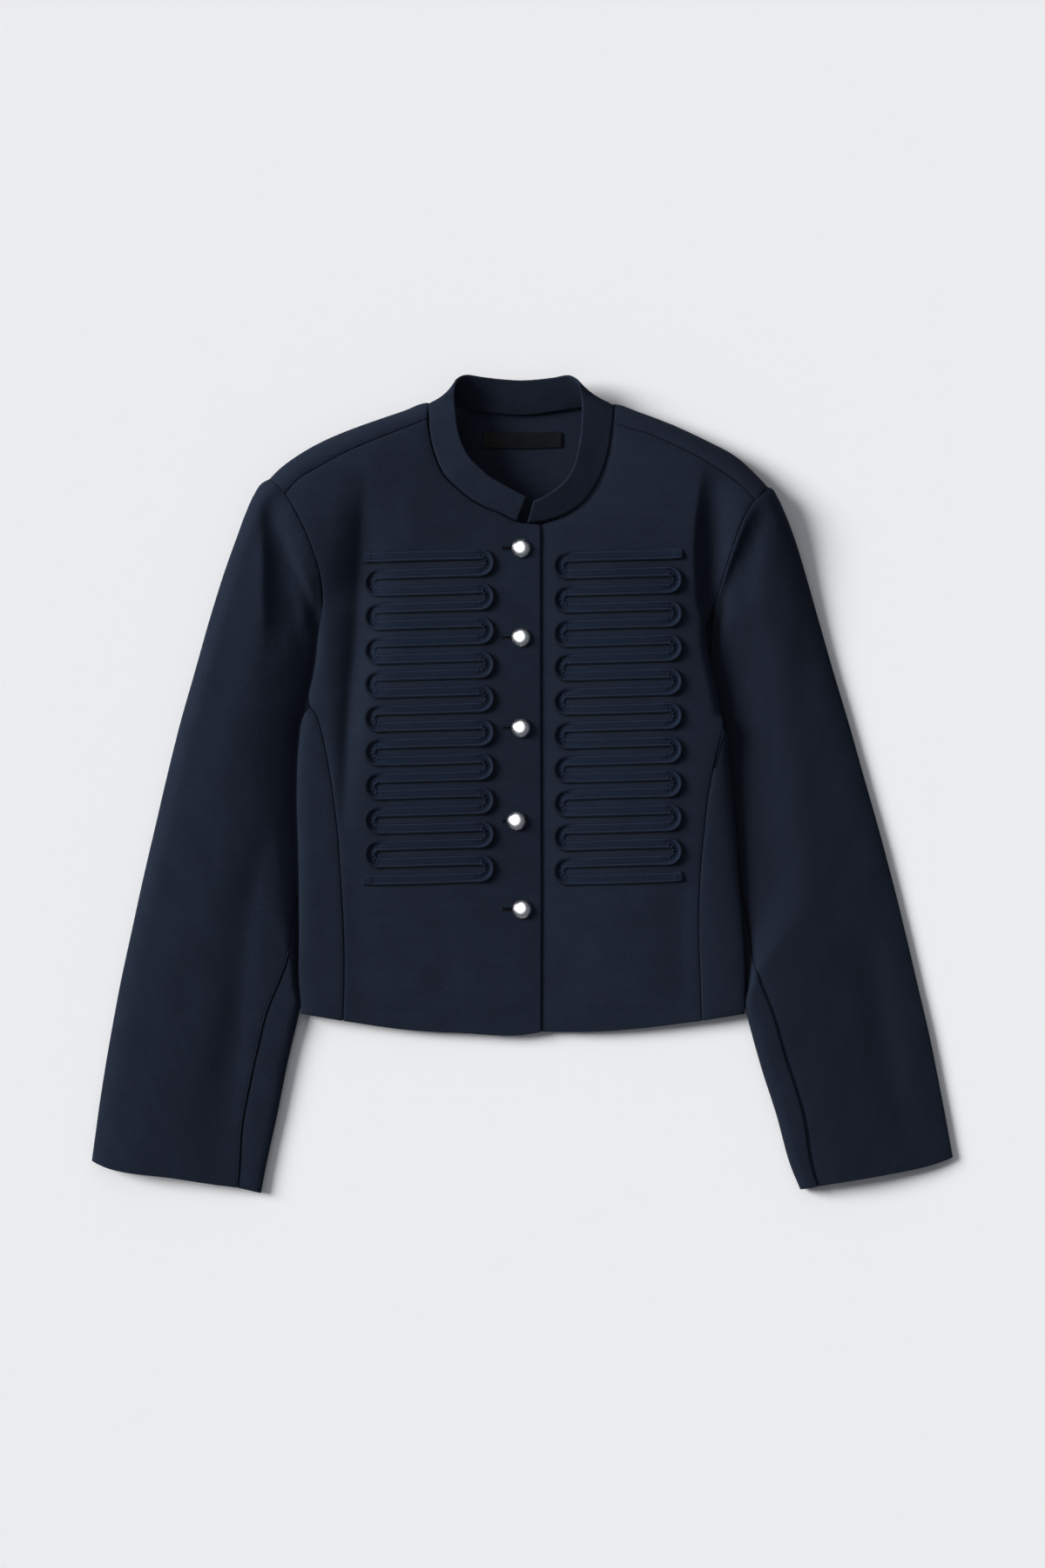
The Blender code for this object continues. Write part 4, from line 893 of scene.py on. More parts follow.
def makeBack():
    grid, across, beforeNeck, afterNeck = backGrid()
    inset = standBack(grid, ("firstRow", "firstColumn", "lastColumn"))
    inset[-1, ~(beforeNeck | afterNeck), 1] -= 0.5  # leaves room for the collar
    parts = [inset.reshape(-1, 3)]
    weave = [inset[..., :2].reshape(-1, 2)]
    rows, columns = inset.shape[:2]
    quads = [gridQuads(rows, columns)]
    start = rows * columns
    for side, seamRows in ((beforeNeck, shoulderSeamRight), (afterNeck, shoulderSeamLeft[::-1])):
        picked = np.flatnonzero(side)
        fold = inset[-1, picked]
        shares = (across[picked] - across[picked[0]]) / (across[picked[-1]] - across[picked[0]])
        strip = standBack(shoulderStrip(fold, shares, seamRows), ("lastRow",))
        steps = np.diff(np.concatenate((fold[None], strip)), axis=0)
        reach = np.cumsum(np.linalg.norm(steps, axis=2), axis=0)
        parts.append(strip.reshape(-1, 3))
        weave.append(np.dstack((np.broadcast_to(fold[:, 0], reach.shape), fold[:, 1] + reach)).reshape(-1, 2))
        low = (rows - 1) * columns + picked[:-1]
        high = start + np.arange(len(picked) - 1)
        quads.append(np.stack((low, low + 1, high + 1, high), axis=1))
        quads.append(gridQuads(strip.shape[0], len(picked), start))
        start += strip.shape[0] * len(picked)
    points = np.concatenate(parts)
    return clothShell("backPanel", points, np.concatenate(quads), np.concatenate(weave), twill, outer="down")


jacketPiece(makeBack(), ["back"])
print("back made")


# Sleeves

sleeves = {
    "heightsAcross": (0, 0.30, 0.50, 0.70, 1),
    "backSeam": 0.25,       # share of the width, on the hidden face
    "unevenness": 0.7,
    "headPuckers": 0.22,    # ease that the sleeve head is sewn in with, mm
    "rowStep": 4.0,
    "blend": 4.0,           # how softly the cloth turns from lying loose to being pressed by the body
    # rows and columns of the mesh, in mm from an edge or as shares
    "fromHead": (1.3, 2.6, 4.5, 7),
    "fromCuff": (1.2, 2.6, 4.6),
    "fromOuter": (0.04, 0.2, 0.5, 1, 1.8, 2.9, 4.3, 6, 8, 10.5, 13.5, 17),
    "fromSeam": (6.6, 4.2, 2.6, 1.4, 0.6, 0),
    "fromInner": (14, 10.5, 7.5, 5, 3.2, 1.9, 1, 0.4, 0.1),
    "toBackSeam": (0.3, 0.6, 0.9, 0.95, 1),
    # where the right front and then the sleeve leave the armhole: y, and the room over the tucked sleeve
    "room": ((-215, 26), (-178, 0), (88, 0), (112, 1.2), (132, 3.2), (152, 9), (186, 30)),
    "outerCorner": (1.1, 7.0),  # how far the corner at the shoulder is drawn out, and the reach of that
    "folds": [
        ("crest", [(-217, 246, 0, 9, 8), (-213, 224, 5, 10, 11), (-209, 205, 8.2, 12, 14),
                   (-203, 170, 10.5, 14, 20), (-196, 135, 10.5, 13, 27),
                   (-190, 95, 6, 12, 34), (-194, 30, 3, 12, 32), (-206, -40, 0, 12, 26)]),
        ("soft", [(-208, 222, 0, 4, 5), (-199, 192, 2, 4, 6), (-187, 165, 3, 4.5, 6),
                  (-175, 130, 2.4, 5, 6)]),
        ("soft", [(-206, 20, 0, 14, 16), (-222, -50, 2.8, 13, 18), (-238, -110, 3.2, 12, 18),
                  (-243, -183, 3, 11, 17), (-250, -250, 2, 11, 16),
                  (-256, -320, 0.5, 11, 15)]),
        ("crest", [(208, 242, 0, 9, 8), (200, 219, 5, 11, 12), (193, 197, 8.5, 14, 13.5),
                   (187.5, 178, 10, 18, 15), (183, 155, 8.5, 22, 17), (181, 127, 4.5, 24, 18),
                   (180, 98, 0, 22, 18)]),
        ("soft", [(296, -130, 0, 12, 14), (306, -185, 2.2, 12, 15), (318, -245, 1.8, 12, 15),
                  (328, -305, 0.3, 12, 14)]),
        ("soft", [(240, 175, 0, 9, 9), (243, 130, 1, 10, 9), (250, 80, 0, 10, 9)]),
    ],
}
sleeveShapes = {
    "Right": {
        "armhole": armholeRight,
        "bodyEdge": sideFoldRight + overSleeveRight,
        "outer": [
            (-217.2, 262.2), (-224.6, 258), (-230.5, 249), (-238.2, 232.2), (-246.5, 209.7), (-254.7, 187.2),
            (-269, 142.2), (-281.7, 97.2), (-294.5, 52.2), (-305.7, 7.2), (-316.2, -37.8), (-326.7, -82.8),
            (-336.5, -127.8), (-346.2, -172.8), (-354.5, -217.8), (-362, -262.8), (-370.5, -323.6),
        ],
        "inner": [
            (-148, 50), (-156, 5), (-168, -50), (-179, -115), (-191.3, -193),
            (-202.2, -240.3), (-211.2, -285.3), (-221, -330.3), (-224.9, -351.3),
        ],
        "cuff": [(-370.5, -323.6), (-364, -326.8), (-298.5, -338.6), (-265.2, -343.8), (-245, -346.6),
                 (-224.9, -351.3)],
        "heights": [
            (0.12, 22, 28, 27, 22, 16), (0.30, 20.5, 25.5, 25, 20, 15),
            (0.50, 17.5, 22, 21.5, 17, 12), (0.70, 14.5, 18.5, 17.5, 13, 9),
            (0.85, 12.5, 16, 15.5, 12, 9), (1.00, 11, 13.5, 13, 11, 9),
        ],
        # beside the body's edge: flat for a way, then up over a length, by a height
        "rise": (0.0, 35.0, 26.5),
        "seam": [(0, 0.93), (0.5, 0.90), (0.68, 0.83), (0.85, 0.82), (1, 0.86)],
        "outerFold": (6.5, 17.0),
    },
    "Left": {
        "armhole": armholeLeft,
        "bodyEdge": sideFoldLeft + overSleeveLeft,
        "outer": [
            (210.8, 255.2), (214.6, 253.6), (218.8, 247.3), (224.2, 236), (236.5, 203.7), (241.5, 187.2),
            (254.5, 142.2), (267.3, 97.2), (280.8, 52.2), (293.5, 7.2), (306.3, -37.8), (318.3, -82.8),
            (329.5, -127.8), (340, -172.8), (350.5, -217.8), (359.5, -262.8), (370.3, -320.6),
        ],
        "inner": [
            (147, 50), (155, 5), (168, -50), (180, -115), (191.8, -193),
            (204.3, -240.3), (218.6, -285.3), (231.3, -330.3), (238.8, -348.3),
        ],
        "cuff": [(370.3, -320.6), (363, -323.5), (307.8, -336.3), (280.8, -340.8), (259, -344.4),
                 (238.8, -348.3)],
        "heights": [
            (0.12, 15, 21, 22, 18, 15), (0.30, 9.5, 14.5, 17, 16, 13),
            (0.50, 8, 13, 16, 16, 13), (0.70, 6.8, 11.5, 15, 16, 14),
            (0.85, 6.6, 11, 14, 15, 12.5), (1.00, 6.6, 10.5, 12.8, 13, 11),
        ],
        "rise": (62.0, 38.0, 25.0),
        "seam": [(0, 0.93), (0.5, 0.92), (0.68, 0.86), (0.85, 0.85), (1, 0.885)],
        "outerFold": (4.2, 26.0),
    },
}


class FlatSleeve:
    # one sleeve as a flattened tube: share across from its outer edge, share along from the armhole

    def __init__(self, shape):
        self.armhole = smoothLine(shape["armhole"])
        self.seamHeights = [row[2] for row in shape["armhole"]]
        self.seamHeights[6] -= 1.6
        self.cuff = smoothLine(shape["cuff"])
        self.outer = smoothLine(shape["outer"])
        self.inner = smoothLine(shape["inner"])
        self.heights = shape["heights"]
        self.bodyEdge = sorted((row[1], abs(row[0])) for row in shape["bodyEdge"])
        self.seam = shape["seam"]
        self.rise = shape["rise"]
        self.outerFold = shape["outerFold"]

    def plan(self, across, along):
        u = across[..., None]
        v = along[..., None]
        sides = (1 - v) * self.armhole(across)[..., :2] + v * self.cuff(across)
        sides = sides + (1 - u) * self.outer(along) + u * self.inner(along)
        corners = (1 - u) * (1 - v) * self.armhole(0.0)[:2] + u * (1 - v) * self.armhole(1.0)[:2]
        return sides - corners - (1 - u) * v * self.cuff(0.0) - u * v * self.cuff(1.0)

    def width(self, along):
        ends = self.plan(np.ones_like(along), along) - self.plan(np.zeros_like(along), along)
        wide = np.hypot(ends[..., 0], ends[..., 1])
        share = clamp(along / 0.15)
        return self.armhole.length * (1 - share) + wide * share

    def upper(self, across, along, plan):
        across = np.broadcast_to(across, plan.shape[:2])
        rows = tableValue(self.heights, along)
        places = np.array(sleeves["heightsAcross"])
        slopes = np.gradient(rows, places, axis=-1)
        index = np.clip(np.searchsorted(places, across, side="right") - 1, 0, 3)
        span = np.diff(places)[index]
        f = clamp((across - places[index]) / span)
        low, high, rising, ending = [np.take_along_axis(table, index[..., None] + k, axis=-1)[..., 0]
                                     for table, k in ((rows, 0), (rows, 1), (slopes, 0), (slopes, 1))]
        laid = curveBetween(f, low, high, rising * span, ending * span)
        seam = np.interp(across, self.armhole.reach[1:], self.seamHeights[1:])
        mix = easeBetween(along, 0.0, 0.16)
        x = plan[..., 0]
        y = plan[..., 1]
        fold = foldRelief(x, y, sleeves["folds"]) * easeBetween(along, 0.0, 0.014)
        fold += foldRelief(x, y, fronts["folds"]) * (1 - easeBetween(along, 0.0, 0.06))
        loose = looseCloth(x, y, sleeves["unevenness"], 1.3) * easeBetween(along, 0.0, 0.12)
        return seam * (1 - mix) + laid * mix - fold + loose

    def pressed(self, x, y):
        # the greatest height that the body leaves for the sleeve
        edge = np.interp(y, *zip(*self.bodyEdge))
        free = np.interp(y, *zip(*sleeves["room"]))
        # towards the hem the body lies lower, and the sleeve comes out beside it at its height
        flat, length, height = self.rise
        held = easeBetween(y, -185.0, -70.0)
        outside = np.maximum(np.abs(x) - edge - 1.5, 0.0)
        late = np.sqrt(outside ** 2 + (flat * held) ** 2) - flat * held
        return cloth["tuckedSleeve"] + free + height * (1 - np.exp(-late / (5.0 + (length - 5.0) * held)))

    def surface(self, across, along, onTop):
        along = np.broadcast_to(along, across.shape)
        plan = self.plan(across, along)
        x = plan[..., 0]
        y = plan[..., 1]
        wide = self.width(along)
        low, reach = self.outerFold
        outerFold = cloth["shoulderFold"] + (low - cloth["shoulderFold"]) * easeBetween(along, 0.0, 0.22)
        innerFold = 2.4 + 2.4 * easeBetween(along, 0.5, 0.68)
        innerReach = 3.0 + 6.0 * easeBetween(along, 0.5, 0.68)
        fromOuter = across * wide
        fromInner = (1 - across) * wide
        top = lesser(self.upper(across, along, plan), self.pressed(x, y), sleeves["blend"])
        top = np.maximum(top, cloth["tuckedSleeve"])
        upperZ = outerFold + (top - outerFold) * quarterRound(fromOuter, reach)
        lowered = quarterRound(fromInner / innerReach, 1.0)
        upperZ = innerFold + (upperZ - innerFold) * lowered
        lowerZ = outerFold * (1 - quarterRound(fromOuter, cloth["backRoll"])) + innerFold * (1 - lowered)
        z = np.where(onTop, upperZ, lowerZ)
        return np.stack((x, y, z), axis=-1)


def sleeveRows():
    return sharesAlong(620.0, sleeves["rowStep"], sleeves["fromHead"], sleeves["fromCuff"])


def topSleeveGrid(sleeve):
    along = sleeveRows()[:, None]
    wide = sleeve.width(along)
    seam = tableValue(sleeve.seam, along[:, 0])
    near = np.array(sleeves["fromOuter"])[None, :] / wide
    beside = np.array(sleeves["fromSeam"])[None, :] / wide
    flat = near[:, -1:] + (seam - beside[:, :1] - near[:, -1:]) * np.linspace(0, 1, 52)[None, 1:-1]
    flat = np.concatenate((flat, seam - beside), axis=1)
    rest = (sleeves["backSeam"] - near[:, -1:]) * np.array(sleeves["toBackSeam"])[None, :]
    hidden = np.concatenate((near, near[:, -1:] + rest), axis=1)
    top = np.concatenate((flat[:, ::-1], near[:, ::-1], np.zeros_like(along)), axis=1)
    across = np.concatenate((top, hidden), axis=1)
    onTop = np.concatenate((np.ones(top.shape[1], bool), np.zeros(hidden.shape[1], bool)))[None, :]
    grid = sleeve.surface(across, along, onTop)
    fromSeam = (seam - across) * wide
    grid[..., 2] -= np.where(onTop, seamProfile(fromSeam), 0.0)
    head = along * sleeve.outer.length
    pucker = sleeves["headPuckers"] * np.sin(across * 92.0 + 2.0 * np.sin(across * 31.0))
    grid[..., 2] += np.where(onTop, pucker * np.exp(-(head / 9.0) ** 2), 0.0)
    grid[..., 2] -= np.where(onTop, seamProfile(head) * 0.8, 0.0)
    return grid


def underSleeveGrid(sleeve):
    along = sleeveRows()[:, None]
    wide = sleeve.width(along)
    seam = tableValue(sleeve.seam, along[:, 0])
    inner = np.array(sleeves["fromInner"])[None, :] / wide
    steps = np.concatenate(((0.0, 0.012, 0.03), np.linspace(0.06, 0.95, 24)))[None, :]
    low = sleeves["backSeam"] + (1.0 - inner[:, :1] - sleeves["backSeam"]) * steps
    low = np.concatenate((low, 1.0 - inner), axis=1)
    gap = 1.0 - seam
    rise = np.minimum(inner[:, :0:-1], gap * 0.5)
    last = rise[:, -1:]
    spread = last + (gap - last) * np.array((0.2, 0.4, 0.6, 0.8))[None, :]
    spread = np.concatenate((spread, gap - np.array((3.0, 1.3, 0.0))[None, :] / wide), axis=1)
    spread = np.sort(spread, axis=1)
    high = 1.0 - np.concatenate((rise, spread), axis=1)
    across = np.concatenate((low, np.ones_like(along), high), axis=1)
    onTop = np.arange(across.shape[1])[None, :] >= low.shape[1]
    grid = sleeve.surface(across, along, onTop)
    fromSeam = (across - seam) * wide
    grid[..., 2] -= np.where(onTop & (across < 1.0), seamProfile(fromSeam), 0.0)
    return grid


for side, shape in sleeveShapes.items():
    sleeve = FlatSleeve(shape)
    for part, gridOf in (("top", topSleeveGrid), ("under", underSleeveGrid)):
        grid = standBack(gridOf(sleeve), ("firstRow", "firstColumn", "lastColumn"))
        corner = np.array(shape["outer"][0] + (cloth["shoulderFold"],))
        out, reach = sleeves["outerCorner"]
        toCorner = np.exp(-(np.linalg.norm(grid[0] - corner, axis=1) / reach) ** 2)
        grid[0] += unitRows(grid[0] - grid[1]) * (out * toCorner)[:, None]
        # the left sleeve takes the darker copy of the twill, which is painted shade
        finish = turnedPaintedShadeTwill if side == "Left" else twill
        piece = gridShell(part + "Sleeve" + side, grid, arcWeave(grid), finish, outer="tube")
        jacketPiece(piece, [part + "_sleeve_" + side.lower()])
print("sleeves made")


# Collar

collarBand = {
    "wall": 2.4,            # two layers of twill and their stiffening
    "leans": 0.56,          # how much of its height is left, because its own weight lays it down
    "stand": (0.08, 0.42),  # share of the width, beside the seam, in which this share of the height is gained
    "inward": 1.3,          # how far it stands in from its seam, towards the middle of the neck
    "middle": (-1.5, 290.0, 0.0),
    "sunk": 2.2,            # how far its sewn edge goes down into the seam
    "waves": ((0.25, 47, 0), (0.18, 89, 1)),  # height, how close and where they start
    "rises": (0, 0.02, 0.045, 0.075, 0.11, 0.16, 0.23, 0.33, 0.45, 0.58, 0.7, 0.8, 0.88, 0.94, 0.975, 1),
    # from the wearer's right front end round the back: base x, y, z, then top x, y, z
    "stations": [
        (-5.7, 224.3, 22, 2.2, 243.8, 43), (-20.7, 231.5, 22.5, -9.5, 249.5, 43.5),
        (-32.3, 236.2, 23, -18.5, 254.7, 43.5), (-44, 242.7, 23.5, -27.7, 260, 43),
        (-55.2, 251.7, 24, -38, 268.7, 43), (-68, 264.5, 24.5, -47.2, 278.2, 42.5),
        (-76, 281.7, 25, -53.7, 290, 41.5), (-80.5, 300, 25, -57.8, 303.5, 40),
        (-81.7, 314, 24, -59.7, 318.5, 38), (-82, 326.9, 17, -60.5, 335.5, 34),
        (-72, 327.6, 10, -59, 346.2, 28.5), (-59.2, 326.4, 4.9, -51.8, 350.9, 22),
        (-40.2, 323.4, 3.8, -35.5, 349.6, 17), (-20.7, 321.1, 3.6, -18.5, 348, 14.5),
        (-3.5, 320.2, 3.6, -3.5, 347.2, 14),
        (13.8, 321.1, 3.6, 11.5, 347.7, 14.5), (31, 323.4, 3.8, 27.3, 349.2, 17),
        (52.8, 326.4, 4.9, 42.3, 350.7, 22), (69, 327.4, 10, 49.8, 345.8, 28.5),
        (79.6, 325.6, 17, 52.1, 337, 34), (79.6, 314.6, 23.5, 53.7, 323, 38.5),
        (78.3, 302.2, 25, 53.3, 309.5, 40), (74.5, 279.5, 25, 52, 295.5, 41.5),
        (70.6, 267.5, 24.8, 49.8, 284, 42.5), (65.3, 256.3, 24.5, 46.8, 272.7, 43),
        (53.9, 240.8, 24, 38.9, 258.6, 43.5), (36.6, 229.4, 22.8, 25.1, 247.2, 43.5),
        (24, 225, 22, 17, 242.5, 43.5), (5.6, 222.6, 21, 10.5, 239.8, 43),
    ],
}


def makeCollar():
    stations = collarBand["stations"]
    base = smoothLine([row[:3] for row in stations])
    top = smoothLine([row[3:] for row in stations])
    share = sharesAlong(base.length, 2.6, (1.3, 2.6), (1.3, 2.6))
    place = np.interp(share, base.reach, np.arange(len(stations)))
    low = base(share)
    high = top(np.interp(place, np.arange(len(stations)), top.reach))
    out = unitRows(np.cross(high - low, base(share + 0.01) - base(share - 0.01)))
    rises = np.array(collarBand["rises"])
    grid = low[:, None] + (high - low)[:, None] * rises[None, :, None]
    # at the front and the sides the band bends up beside its seam, then lies back
    early, gained = collarBand["stand"]
    stands = easeBetween(low[:, 2], 12.0, 22.0)[:, None]
    lifted = gained * quarterRound(rises, early) + (1 - gained) * rises
    lifted = rises[None] * (1 - stands) + lifted[None] * stands
    lean = 1 - (1 - collarBand["leans"]) * stands
    grid[..., 2] = low[:, 2:3] + (high - low)[:, 2:3] * lifted * lean - collarBand["sunk"] * stands
    inward = np.array(collarBand["middle"]) - low
    inward[:, 2] = 0.0
    grid += unitRows(inward)[:, None] * collarBand["inward"]
    wave = sum(height * np.sin(share * close + start) for height, close, start in collarBand["waves"])
    grid += out[:, None] * (wave[:, None] * np.sin(np.pi * rises)[None, :])[..., None]
    return grid


grid = makeCollar()
collar = gridShell("collarBand", grid, arcWeave(grid), twill, outer="away", wall=collarBand["wall"])
jacketPiece(collar, ["collar"])
print("collar made")


# Braid

braid = {
    "runs": 20,
    "pitch": 14.57,
    "firstY": 196.0,
    "wide": 9.4,
    "wall": 0.9,
    "low": 0.75,            # top face above the cloth along the edge that is sewn down
    "high": 1.75,           # and along the other edge, which stands up a little
    "lip": 2.2,             # how much more the outer edge stands up in a turn
    "dip": 2.2,             # and how much its middle sinks there
    "turnSteps": 30,
    "nearTurn": 9.0,        # how far before and after a turn the tape feels it
    "tilt": 2.6 / 90.0,
    # places across the tape, from its right edge to its left in the direction of sewing
    "across": (-1, -0.96, -0.9, -0.82, -0.72, -0.62, -0.4, -0.15,
               0.15, 0.4, 0.62, 0.72, 0.82, 0.9, 0.96, 1),
    "crease": 4.6,          # distance between the small creases in a turn
    "stitchRow": 0.72,      # share of the half width where the two stitch lines run
    "stitch": 1.0,
    "stitchPitch": 1.55,
    "cord": 0.62,           # thickness of the dark cord at the tape's raised edge, a painted shadow line
    "ends": {"Right": (-36.5, -123.5, -136.5), "Left": (38.7, 124.8, 137)},
}


def braidRoute(side):
    # centre line in plan, and for each point how far it is into a turn and its inner and its raised side
    innerTurn, outerTurn, freeEnd = braid["ends"][side]
    radius = braid["pitch"] / 2
    line = []
    turns = []
    inner = []
    raised = []
    for run in range(braid["runs"]):
        y = braid["firstY"] - run * braid["pitch"]
        start, end = (innerTurn, outerTurn) if run % 2 == 1 else (outerTurn, innerTurn)
        if run == 0:
            start = freeEnd
        if run == braid["runs"] - 1:
            end = freeEnd
        way = math.copysign(1.0, end - start)
        unevenBow = 0.45 * math.sin(1.9 * run + 0.6) + 0.25 * math.sin(4.3 * run)
        count = int(abs(end - start) / 1.5)
        for step in range(count + 1):
            share = step / count
            fromStart = share * abs(end - start)
            toEnd = abs(end - start) - fromStart
            nearTurn = 0.0
            if run > 0 and fromStart < braid["nearTurn"]:
                nearTurn = 0.5 * (1 - fromStart / braid["nearTurn"]) ** 2
            if run < braid["runs"] - 1 and toEnd < braid["nearTurn"]:
                nearTurn = 0.5 * (1 - toEnd / braid["nearTurn"]) ** 2
            line.append((start + (end - start) * share, y + unevenBow * math.sin(math.pi * share)))
            turns.append(nearTurn)
            inner.append(-way if toEnd < fromStart else way)
            raised.append(-way)
        if run < braid["runs"] - 1:
            for step in range(1, braid["turnSteps"]):
                angle = math.pi * step / braid["turnSteps"]
                line.append((end + way * radius * math.sin(angle), y - radius * (1 - math.cos(angle))))
                turns.append(0.5 + 0.5 * math.sin(angle))
                inner.append(-way)
                raised.append(-way * math.cos(angle))
    line = np.array(line)
    centre = (innerTurn + outerTurn) / 2
    line[:, 1] += (line[:, 0] - centre) * braid["tilt"]
    return line, np.array(turns), np.array(inner), np.array(raised)


def braidGrid(side, tree):
    line, turns, inner, raised = braidRoute(side)
    ahead = unitRows(np.gradient(line, axis=0))
    across = np.stack((-ahead[:, 1], ahead[:, 0]), axis=1)
    places = np.array(braid["across"])
    half = braid["wide"] / 2 - braid["wall"] / 2
    plan = line[:, None] + across[:, None] * (places * half)[None, :, None]
    base = heightsOn(tree, plan[..., 0], plan[..., 1])
    # the tape is stiffer than the cloth, so it bridges small dips
    base = 0.5 * base + 0.5 * base.mean(axis=1, keepdims=True)
    inward = places[None, :] * inner[:, None]
    toRaised = places[None, :] * raised[:, None]
    w = turns[:, None]
    reach = lengthsAlong(line)
    slant = braid["low"] + (braid["high"] - braid["low"]) * easeBetween(toRaised, -1.0, 1.0)
    groove = 0.22 * np.exp(-((np.abs(places) - braid["stitchRow"]) / 0.09) ** 2)[None, :]
    lip = braid["lip"] * w * easeBetween(-inward, 0.5, 0.86)
    lip -= braid["dip"] * w * np.exp(-((-inward - 0.14) / 0.34) ** 2)
    wave = np.abs(np.sin(math.pi * reach / braid["crease"] + 0.7 * np.sin(reach / 23.0)))
    crease = 1.5 * w * ((1 - wave) ** 2)[:, None] * easeBetween(inward, -0.3, 0.4)
    swell = 0.4 * w * wave[:, None] * easeBetween(inward, 0.0, 0.8)
    ripple = 0.1 * np.sin(reach / 2.9)[:, None] * easeBetween(np.abs(places), 0.6, 1.0)[None, :]
    top = base + slant - groove + lip - crease + swell + ripple
    top = np.maximum(top, base + 0.12)
    folded = np.minimum(reach, reach[-1] - reach)
    top += 0.9 * (1 - easeBetween(folded, 6.6, 7.4))[:, None] * (1 - np.abs(places) ** 6)[None, :]
    return np.dstack((plan, top)), reach, places, raised


def shadowLineCords(name, grid, raised, tree):
    # a dark cord along the raised edge of each run, and along the outside of the turn before it: painted
    # shadow, standing for the shadow line under the tape's edge
    points = []
    faces = []
    signs = np.where(np.abs(raised) > 0.999, np.sign(raised), 0.0)
    runs = np.flatnonzero(np.diff(np.concatenate(([0], (signs != 0).astype(int), [0]))))
    for index, (first, last) in enumerate(zip(runs[::2], runs[1::2])):
        column = -1 if signs[first] > 0 else 0
        start = first - (braid["turnSteps"] - 6 if index else 0)
        edge = grid[start:last + 3, column]
        outward = unitRows(edge[:, :2] - grid[start:last + 3, 8, :2])
        middle = edge.copy()
        middle[:, :2] += outward * (braid["wall"] / 2 + braid["cord"] * 0.32)
        middle[:, 2] = heightsOn(tree, middle[:, 0], middle[:, 1]) + braid["cord"] * 0.6
        fromEnd = np.minimum(np.arange(len(edge)), np.arange(len(edge))[::-1])
        size = braid["cord"] * np.minimum(1.0, 0.25 + 0.15 * fromEnd)
        ring = len(points)
        for k in range(6):
            angle = math.pi / 3 * k
            ringPoint = middle.copy()
            ringPoint[:, :2] += outward * (size * math.cos(angle))[:, None]
            ringPoint[:, 2] += size * math.sin(angle)
            points.extend(ringPoint)
        count = len(edge)
        for k in range(6):
            a = ring + k * count + np.arange(count - 1)
            b = ring + (k + 1) % 6 * count + np.arange(count - 1)
            faces.extend(np.stack((a, b, b + 1, a + 1), axis=1))
        faces.append([ring + k * count for k in range(6)][::-1])
        faces.append([ring + k * count + count - 1 for k in range(6)])
    return meshPiece(name, points, faces, None, shadowLineThread)


def stitchMesh(name, centres, ahead, up, length, radius, finish):
    # many short stitches in one mesh, each a thread that dips at both ends
    sideways = unitRows(np.cross(ahead, up))
    rings = []
    for share, size, drop in ((-1.0, 0.55, -0.9), (-0.45, 1.0, 0.25), (0.45, 1.0, 0.25), (1.0, 0.55, -0.9)):
        middle = centres + ahead * (length / 2 * share) + up * (radius * drop)
        for k in range(4):
            angle = math.pi / 2 * k
            rings.append(middle + (sideways * math.cos(angle) + up * math.sin(angle)) * radius * size)
    points = np.stack(rings, axis=1)
    faces = []
    for ring in range(3):
        for k in range(4):
            a = ring * 4 + k
            b = ring * 4 + (k + 1) % 4
            faces.append((a, a + 4, b + 4, b))
    faces += [(0, 1, 2, 3), (15, 14, 13, 12)]
    faces = np.array(faces)
    every = (faces[None] + (np.arange(len(centres)) * 16)[:, None, None]).reshape(-1, 4)
    return meshPiece(name, points.reshape(-1, 3), every, None, finish)


def straightUp(centres):
    return np.tile((0.0, 0.0, 1.0), (len(centres), 1))


def tapeStitches(name, grid, reach, places):
    up = vertexNormals(grid.reshape(-1, 3), gridQuads(*grid.shape[:2])).reshape(grid.shape)
    up *= np.sign(up[..., 2:3].mean())
    centres = []
    aheads = []
    ups = []
    for row in (-braid["stitchRow"], braid["stitchRow"]):
        column = int(np.argmin(np.abs(places - row)))
        line = grid[:, column]
        steps = lengthsAlong(line)
        spots = np.arange(1.5, steps[-1] - 1.5, braid["stitchPitch"])
        at = np.stack([np.interp(spots, steps, line[:, k]) for k in range(3)], axis=1)
        ahead = np.stack([np.interp(spots + 0.5, steps, line[:, k]) for k in range(3)], axis=1) - at
        centres.append(at)
        aheads.append(unitRows(ahead))
        ups.append(unitRows(np.stack([np.interp(spots, steps, up[:, column, k]) for k in range(3)], axis=1)))
    return stitchMesh(name, np.concatenate(centres) + np.concatenate(ups) * 0.1, np.concatenate(aheads),
                      np.concatenate(ups), braid["stitch"], 0.28, tapeThread)


for side, tree in (("Right", overRight), ("Left", overLeft)):
    grid, reach, places, raised = braidGrid(side, tree)
    weave = np.stack(np.broadcast_arrays(reach[:, None], places[None, :] * braid["wide"] / 2), axis=-1)
    tapePiece = gridShell("braid" + side, grid, weave.reshape(-1, 2), tape, wall=braid["wall"])
    stitches = tapeStitches("braidStitches" + side, grid, reach, places)
    shadowCords = shadowLineCords("braidShadowLine" + side, grid, raised, tree)
    jacketPiece(stitches, [])
    jacketPiece(shadowCords, [])
    jacketPiece(tapePiece, ["braid_" + side.lower()])
print("braid made")


# Buttonholes, buttons and label

buttons = {
    "radius": 8.2,
    "clear": 0.35,          # air between the button's rim and the cloth
    # radius share and height of the turned profile, from the back plate to the crown
    "profile": [(0, 0.25), (0.55, 0.2), (0.84, 0), (0.95, 0.12), (1, 0.55), (0.985, 1), (0.93, 1.55),
                (0.86, 2.2), (0.77, 2.95), (0.66, 3.6), (0.53, 4.15), (0.4, 4.5), (0.26, 4.74), (0.12, 4.87),
                (0.0, 4.9)],
    "shank": 1.9,
}


